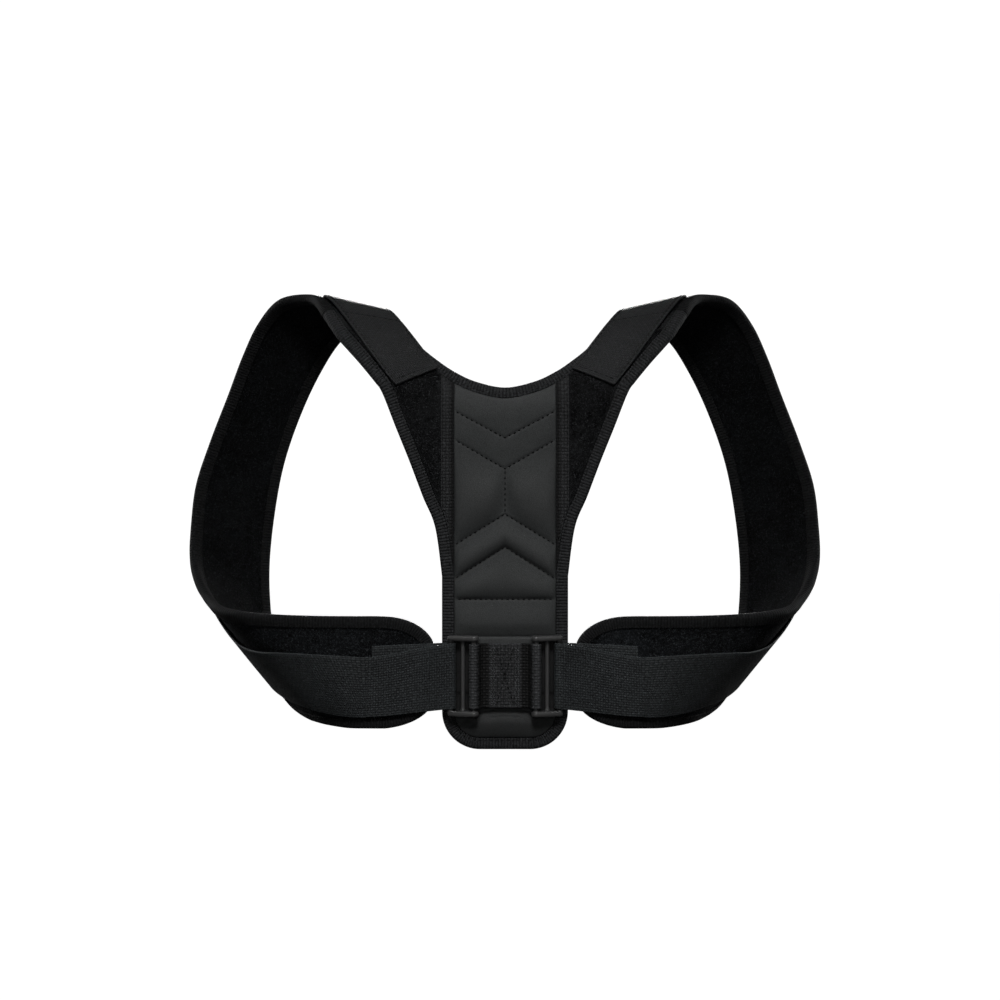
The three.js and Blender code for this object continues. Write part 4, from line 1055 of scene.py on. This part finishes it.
def tabPiece(side):
    name = "hook_tab_" + sideName[side]
    middle = tabPoint(np.linspace(0, 1, 60), 0.5, tabFoot)
    run = lengthsAlong(middle)
    long = run[-1]
    width = float(np.linalg.norm(tabPoint(0.5, 0.0, tabFoot) - tabPoint(0.5, 1.0, tabFoot)))
    length = tightEnds(0, long, 120, 0.7)
    share = np.interp(length, run, np.linspace(0, 1, 60))[:, None]
    across = tightEnds(0, width, 40, 0.7)[None, :] / width
    sideways = across * width
    distance = np.minimum(np.minimum(sideways, width - sideways), np.minimum(length, long - length)[:, None])
    u = np.broadcast_to(length[:, None], distance.shape)
    v = np.broadcast_to(sideways, distance.shape)
    lift = tab["lift"] * np.exp(-u / tab["liftFade"]) * (1 + 0.5 * unevenness(v, u, 12, 82 + side))
    sewn = -0.14 * np.exp(-((distance - tab["stitchInset"]) / 0.5) ** 2)
    crossSeam = -0.22 * np.exp(-((u - tab["seam"] * long) / 0.6) ** 2)
    relief = lift + sewn + crossSeam + 0.09 * unevenness(u, v, 11, 84 + side) * smooth(distance / 3)
    place = lambda a, b, n: tabPoint(a, b, n) * [side, 1, 1]
    a, b = np.broadcast_arrays(share, across)
    mesh = clothLayer(name, place, a, b, tabFoot, layer["tab"], distance, relief, cloth=np.stack([u, v], -1))
    piece = addPiece(name, mesh, finish["hookTab"], [name.replace("hook", "shoulder")])
    top = tabFoot + layer["tab"]
    edgeShare, edgeSide = tab["stitchInset"] / long, tab["stitchInset"] / width
    s = np.linspace(edgeShare, 1 - edgeShare, 80)
    w = np.linspace(edgeSide, 1 - edgeSide, 40)
    seamShare = float(np.interp(tab["seam"] * long, run, np.linspace(0, 1, 60)))
    footLift = tab["lift"] * math.exp(-tab["stitchInset"] / tab["liftFade"])
    rows = [(s, 0 * s + edgeSide, -0.02), (s, 0 * s + 1 - edgeSide, -0.02),
            (0 * w + edgeShare, w, footLift - 0.08), (0 * w + 1 - edgeShare, w, -0.02),
            (0 * w + seamShare, w, -0.1)]
    return [stitchRings(place, np.stack([a, b], -1), top + rise) for a, b, rise in rows]


stitchPiece("tab_stitches", tabPiece(1) + tabPiece(-1), finish["thread"])
print("tabs made")

# ---- webbing ----
sideWeb = dict(width=38.0, foldLength=90.0, freeEnd=70.0, settling=4, steps=26)
centreWeb = dict(width=37.5, stitched=18.0)
bars = dict(outer=dict(x=31.4, out=7.6, radius=1.4), middle=dict(x=24.3, out=7.6, radius=1.2),
            inner=dict(x=18.0, out=11.0, radius=1.3))


def uprightRows(x, out, level, width):
    x, out, level = np.broadcast_arrays(*(np.asarray(v, float) for v in (x, out, level)))
    row = lambda half: np.stack([x, -shoulder["radius"] - out, level + half], -1)
    return np.stack([row(width / 2), row(-width / 2)], 1)


# Upright rows round a bar, on its side towards or away from the mid-plane.
def rowsRoundBar(bar, facing, thickness, width, steps):
    radius = bar["radius"] + layer["gap"] + thickness / 2
    turn = np.linspace(0, np.pi, steps + 1)
    x, out = bar["x"] + facing * radius * np.sin(turn), bar["out"] - radius * np.cos(turn)
    return uprightRows(x, out, waist["level"], width)


def waistWebbingRows():
    width = sideWeb["width"]
    under = coverFoot + layer["webbing"] / 2
    over = under + layer["webbing"] + layer["gap"]
    onPad = lambda reach, drop, out: uprightRows(pad["nose"] + reach * pad["flat"], out,
                                                 waist["level"] - drop * width, width)
    underRows = onPad(np.array([.737, .42, .11]), np.array([.058, .036, .016]), under)
    overRows = onPad(np.array([.19, .39, .6, .8]), np.array([.075, .12, .158, .18]), over)
    drawnIn = np.array([0.4, 0.9, 1.3, 1.6])  # it draws together on the pad
    overRows += drawnIn[:, None, None] * [[0, 0, -1], [0, 0, 1]]
    padMiddle = -(loopTable[-1, 2] + loopTable[-1, 5]) * body["loopHeight"] / 2
    side = waist["level"] - 0.185 * width - padMiddle
    first = strapLength - pad["flat"]
    i = np.arange(sideWeb["steps"] + 1)
    length = first - (sideWeb["foldLength"] + sideWeb["freeEnd"]) * i / sideWeb["steps"]
    n = over + (under - over) * smooth(i / sideWeb["settling"])
    middle = side * (1 - smooth(i / sideWeb["steps"]))
    path = strapMiddle(length, middle)
    along = unit(np.vstack([path[1:], path[-1:]]) - np.vstack([path[:1], path[:-1]]))
    across = unit(strapMiddle(length, middle + 1) - strapMiddle(length, middle - 1))
    drawn = drawnIn[-1] * (1 - smooth((i - 4) / 8))
    # The strap's rows cross the webbing aslant, so its half-width is divided by the sine of their angle.
    half = (width / 2 - drawn) / np.sqrt(1 - (along * across).sum(-1) ** 2)
    onStrap = np.stack([strapPoint(length, middle + half, n), strapPoint(length, middle - half, n)], 1)
    turned = rowsRoundBar(bars["outer"], -1, layer["webbing"], width, 8)
    return np.concatenate([underRows, turned, overRows, onStrap])


def webbingPiece(name, place, long, width, thickness, nodes, seed, joined=False, rows=420, folds=(),
                 shade=None, cover="webbing"):
    length = np.linspace(0, long, rows + 1)[:-1] if joined else tightEnds(0, long, rows, 0.8)
    across = tightEnds(-width / 2, width / 2, 22, 0.8)
    u, v = np.meshgrid(length, across, indexing="ij")
    distance = width / 2 - np.abs(v)
    if not joined:
        distance = np.minimum(distance, np.minimum(u, long - u))
    selvedge = -0.1 * np.exp(-((width / 2 - np.abs(v) - 2.0) / 0.5) ** 2)  # a groove beside each edge
    relief = np.zeros_like(u) if joined else 0.1 * unevenness(u, v, 16, seed)
    half = thickness / 2
    share = rimShare(distance, half)
    outer = place(u, v, half * share + relief + selvedge)
    inner = place(u, v, -half * share + relief - selvedge)
    wear = np.clip(1 - distance / 1.3, 0, 1)
    # The folds are lighter: rubbed wear, and a painted highlight on their crests.
    for fold in folds:
        wear = np.maximum(wear, np.exp(-((u - fold) / 2.6) ** 2))
    dark = None if shade is None else shade(place(u, v * 0, 0))
    mesh = shell(name, outer, inner, np.stack([u, v], -1), wear, joined, dark)
    return addPiece(name, mesh, finish[cover], nodes)


waistRows = waistWebbingRows()
waistShare = np.linspace(0, 1, 900)
waistUpper, waistLower = curveThrough(waistRows[:, 0])(waistShare), curveThrough(waistRows[:, 1])(waistShare)
for side, end in sideName.items():
    flip = np.array([side, 1, 1])
    place, long = ribbonPlace(waistUpper * flip, waistLower * flip, sideWeb["width"])
    fold = lengthsAlong((waistUpper + waistLower) / 2)[np.argmin(waistUpper[:, 0])]
    piece = webbingPiece("side_webbing_" + end, place, long, sideWeb["width"], layer["webbing"],
                         ["waist_webbing_" + end], 91 + side, folds=[fold])


# The centre webbing: flat on the leather between the buckles, and looped over their raised inner bars.
def centreWebbingRows():
    width, thickness = centreWeb["width"], layer["centre"]
    lower = layerFoot + layer["leather"] + quilt["coveredPuff"] + layer["gap"] + thickness / 2
    upper = lower + thickness + layer["gap"]
    inner, flat = bars["inner"], centreWeb["stitched"] / 2
    radius = inner["radius"] + layer["gap"] + thickness / 2

    # Direction from the bar to where a straight run from the flat part touches the loop.
    def touch(out, hand):
        along, rise = inner["x"] - flat, inner["out"] - out
        return math.atan2(rise, along) + hand * (math.asin(radius / math.hypot(along, rise)) + math.pi / 2)

    turn = np.linspace(math.pi, touch(lower, -1), 17)
    loop = uprightRows(inner["x"] + radius * np.cos(turn), inner["out"] + radius * np.sin(turn),
                       waist["level"], width)
    flatX = np.array([0, 3, 6, flat - 0.8])
    # The outer layer hangs slack between the stitches and the bar.
    slackX, slackOut = np.array([10.2, 12.2, 14.0, 15.1]), upper + np.array([0.05, 0.25, 0.95, 2.3])
    top = np.concatenate([uprightRows(flatX, upper, waist["level"], width),
                          uprightRows(slackX, slackOut, waist["level"], width)])
    bottom = uprightRows(flatX[::-1], lower, waist["level"], width)
    half = np.concatenate([top, loop, bottom])
    return np.concatenate([half, half[-2:0:-1] * [-1, 1, 1]])


centreRows = centreWebbingRows()
centreShare = np.linspace(0, 1, 601)[:-1]
centreUpper = curveThrough(centreRows[:, 0], True)(centreShare)
centreLower = curveThrough(centreRows[:, 1], True)(centreShare)
centrePlace, centreLong = ribbonPlace(centreUpper, centreLower, centreWeb["width"], True)


def paintedSlopeShade(points):  # painted shade on the slopes between the flat part and the loops
    reach = np.abs(points[..., 0])
    return 0.97 * smooth((reach - 8.7) / 1.3) * smooth((16.3 - reach) / 1.6)


centreRun = lengthsAlong((centreUpper + centreLower) / 2)
centreFolds = [centreRun[np.argmax(centreUpper[:, 0] * side - centreUpper[:, 1] * 2)] for side in (1, -1)]
centre = webbingPiece("centre_band", centrePlace, centreLong, centreWeb["width"], layer["centre"],
                      ["centre_webbing"], 95, joined=True, rows=480, folds=centreFolds, shade=paintedSlopeShade,
                      cover="centreWebbing")


# Two zigzag columns and a cross join the two layers of the centre webbing, on its outer layer.
def joiningStitches():
    upper = layerFoot + layer["leather"] + quilt["coveredPuff"] + 2 * layer["gap"] + 2 * layer["centre"]

    def place(x, z, n):
        x, z, n = np.broadcast_arrays(*(np.asarray(v, float) for v in (x, z, n)))
        return np.stack([x, -shoulder["radius"] - upper - n, waist["level"] + z], -1)

    zigzag = dict(columns=(-7.0, 7.0), shifts=(-0.75, 0.75), half=17.4, step=1.35, swing=0.62)
    made = []
    z = np.arange(-zigzag["half"], zigzag["half"], zigzag["step"])
    for x in [column + shift for column in zigzag["columns"] for shift in zigzag["shifts"]]:
        turns = np.stack([x + zigzag["swing"] * np.where(np.arange(len(z)) % 2 == 0, -1, 1), z], -1)
        for start, stop in zip(turns[:-1], turns[1:]):
            made.append(stitchRings(place, np.linspace(start, stop, 6), 0.1, length=1.75, space=0.1,
                                    radius=0.27))
    spread = np.linspace(-1, 1, 60)
    cross = [stitchRings(place, np.stack([4.9 * spread * hand, 16.4 * spread], -1), 0.08, length=2.0, space=0.9,
                         radius=0.34) for hand in (-1, 1)]
    return made, cross


zigzags, crossStitches = joiningStitches()
stitchPiece("centre_stitches", zigzags, finish["webThread"])
stitchPiece("centre_cross", crossStitches, finish["thread"])
print("webbing made")

# ---- slide buckles ----
slide = dict(height=46.7, slot=40.3, margin=0.5, raisedEnd=2.8, foot=5.7, edge=1.35, flare=0.5)


# A rail's outline in x and out: flat foot, round outer end, sloping back and a round raised end.
def railOutline():
    outer, inner = bars["outer"], bars["inner"]
    outerEnd, innerEnd = outer["radius"] + slide["margin"], slide["raisedEnd"]

    def arc(x, out, radius, first, last, count):
        turn = np.radians(np.linspace(first, last, count))
        return np.stack([x + radius * np.cos(turn), out + radius * np.sin(turn)], -1)

    return np.vstack([
        arc(outer["x"], outer["out"], outerEnd, -90, 72, 18),
        arc(inner["x"], inner["out"], innerEnd, 72, 180, 20),
        arc(inner["x"], slide["foot"] + innerEnd, innerEnd, 180, 270, 16),
    ])


def railBody(low, high):
    outline = railOutline()
    ahead = np.roll(outline, -1, 0) - outline
    behind = outline - np.roll(outline, 1, 0)
    tangent = unit(unit(ahead) + unit(behind))
    inward = np.stack([-tangent[:, 1], tangent[:, 0]], -1)
    edge = slide["edge"]
    turn = np.linspace(0, np.pi / 2, 9)
    near = np.stack([low + edge * (1 - np.cos(turn)), edge * (1 - np.sin(turn))], -1)
    far = np.stack([high - edge * (1 - np.cos(turn)), edge * (1 - np.sin(turn))], -1)[::-1]
    rings = []
    for level, inset in np.vstack([near, far]):
        flat = outline + inward * inset
        heights = np.full(len(flat), waist["level"] + level)
        rings.append(np.stack([flat[:, 0], -shoulder["radius"] - flat[:, 1], heights], -1))
    return np.array(rings)


# A bar along z: a slightly flattened round section that flares where it meets the rails.
def barBody(bar, squash, reach):
    z = np.linspace(-reach, reach, 61)
    radius = bar["radius"] + slide["flare"] * np.exp(-(slide["slot"] / 2 - np.abs(z)).clip(0) / 0.7)
    turn = np.linspace(0, 2 * np.pi, 41)[:-1]
    x = bar["x"] + radius[:, None] * np.cos(turn)
    out = bar["out"] + radius[:, None] * np.sin(turn) * squash
    return np.stack([x, -shoulder["radius"] - out, np.broadcast_to(waist["level"] + z[:, None], x.shape)], -1)


# A closed tube from rings, with a fan to the middle of each end.
def bodyMesh(rings, paintedHighlight, shade):
    count, around = rings.shape[:2]
    at = np.arange(count * around).reshape(count, around)
    here, ahead = at[:-1], at[1:]
    sides = np.stack([here, np.roll(here, -1, 1), np.roll(ahead, -1, 1), ahead], -1).reshape(-1, 4)
    firstMiddle, lastMiddle = np.full(around, count * around), np.full(around, count * around + 1)
    fans = np.vstack([np.stack([np.roll(at[0], -1), at[0], firstMiddle], -1),
                      np.stack([at[-1], np.roll(at[-1], -1), lastMiddle], -1)])
    points = np.vstack([rings.reshape(-1, 3), rings[0].mean(0), rings[-1].mean(0)])
    wear, dark = (np.full(len(points), value) for value in (paintedHighlight, shade))
    return makeMesh("block", points, [sides, fans], points[:, :2], wear, dark)


# Two rails and three bars, each with how much painted highlight and painted shade it gets, joined into one
# body.
def bucklePiece(side):
    half, slot = slide["height"] / 2, slide["slot"] / 2
    bar = lambda key, squash: barBody(bars[key], squash, slot + 1.2)
    # The upper rail is painted lighter than the lower one as a highlight, and the lower rail and the outer and
    # middle bars get painted shade.
    parts = [(railBody(slot, half), 1.0, 0.0), (railBody(-half, -slot), 0.3, 0.15),
             (bar("outer", 1.0), 0.0, 0.3), (bar("middle", 1.0), 0.0, 0.6), (bar("inner", 0.93), 0.0, 0.0)]
    blocks = [addObject("block", bodyMesh(rings * [side, 1, 1], *marks)) for rings, *marks in parts]
    whole = blocks[0]
    for block in blocks[1:]:
        union = whole.modifiers.new("union", "BOOLEAN")
        union.operation, union.solver, union.object = "UNION", "EXACT", block
    joined = bpy.data.meshes.new_from_object(whole.evaluated_get(bpy.context.evaluated_depsgraph_get()))
    for block in blocks:
        bpy.data.objects.remove(block)
    end = sideName[side]
    joined.name = "slide_buckle_" + end
    addPiece(joined.name, tidyMesh(joined, 40), finish["plastic"], ["buckle_" + end])


bucklePiece(1)
bucklePiece(-1)
print("buckles made")

# ---- floor, light and camera ----
studio = dict(floorLevel=-0.62, floorReach=6.0, cameraPlace=(-0.0029, -1.547, -0.0533), cameraDrop=0.04,
              lens=93.5, ambient=0.03, backdrop=1.05)
# Each light's name, place, target, size, power and spread in degrees.
lights = [
    ("key", (0.0, -1.22, 1.0), (0, -0.05, -0.165), (0.5, 0.4), 0.64, 30),
    ("fill", (0.0, -1.6, 0.1), (0, 0, -0.16), (0.4, 0.3), 0.05, 26),
    ("top", (0.0, -0.35, 1.25), (0, 0, -0.1), (0.7, 0.4), 1.2, 180),
    ("front", (0.0, 1.55, 0.2), (0, 0, -0.13), (0.4, 0.3), 1.0, 26),
    ("right front", (1.25, 1.0, 0.2), (0, 0, -0.13), (0.4, 0.3), 0.28, 26),
    ("left front", (-1.25, 1.0, 0.2), (0, 0, -0.13), (0.4, 0.3), 0.28, 26),
]


def addFloor():
    mesh = bpy.data.meshes.new("floor")
    reach, level = studio["floorReach"], studio["floorLevel"]
    corners = [(-reach, -reach, level), (reach, -reach, level), (reach, reach, level), (-reach, reach, level)]
    mesh.from_pydata(corners, [], [(0, 1, 2, 3)])
    floor = addObject("floor", mesh)
    material = bpy.data.materials.new("pale floor")
    material.use_nodes = True
    tree = material.node_tree
    shader = next(n for n in tree.nodes if n.type == "BSDF_PRINCIPLED")
    seen = addNode(tree, "ShaderNodeLightPath").outputs["Is Camera Ray"]
    for key, value in {"Base Color": colour(0.55), "Roughness": 0.9, "Specular IOR Level": 0.1,
                       "Emission Color": colour(1), "Emission Strength": seen}.items():
        feed(tree, shader.inputs[key], value)
    mesh.materials.append(material)


def addLight(name, place, target, size, power, spread):
    light = bpy.data.lights.new(name, "AREA")
    light.shape, light.size, light.size_y, light.energy = "RECTANGLE", size[0], size[1], power
    light.spread = math.radians(spread)
    lamp = addObject(name, light)
    lamp.location = place
    lamp.rotation_euler = (Vector(target) - Vector(place)).to_track_quat("-Z", "Y").to_euler()


def addWorld():
    world = bpy.data.worlds.new("studio")
    world.use_nodes = True
    bpy.context.scene.world = world
    tree = world.node_tree
    background = next(n for n in tree.nodes if n.type == "BACKGROUND")
    background.inputs["Color"].default_value = colour(1)
    seen = addNode(tree, "ShaderNodeLightPath").outputs["Is Camera Ray"]
    strength = between(tree, seen, 0.0, 1.0, studio["ambient"], studio["backdrop"])
    tree.links.new(strength, background.inputs["Strength"])


addFloor()
for light in lights:
    addLight(*light)
addWorld()
camera = addObject("camera", bpy.data.cameras.new("camera"))
camera.location = studio["cameraPlace"]
camera.rotation_euler = (math.pi / 2 - studio["cameraDrop"], 0, 0)
camera.data.lens = studio["lens"]
bpy.context.scene.camera = camera
bpy.context.scene.view_settings.view_transform = "Standard"
print("stage made")
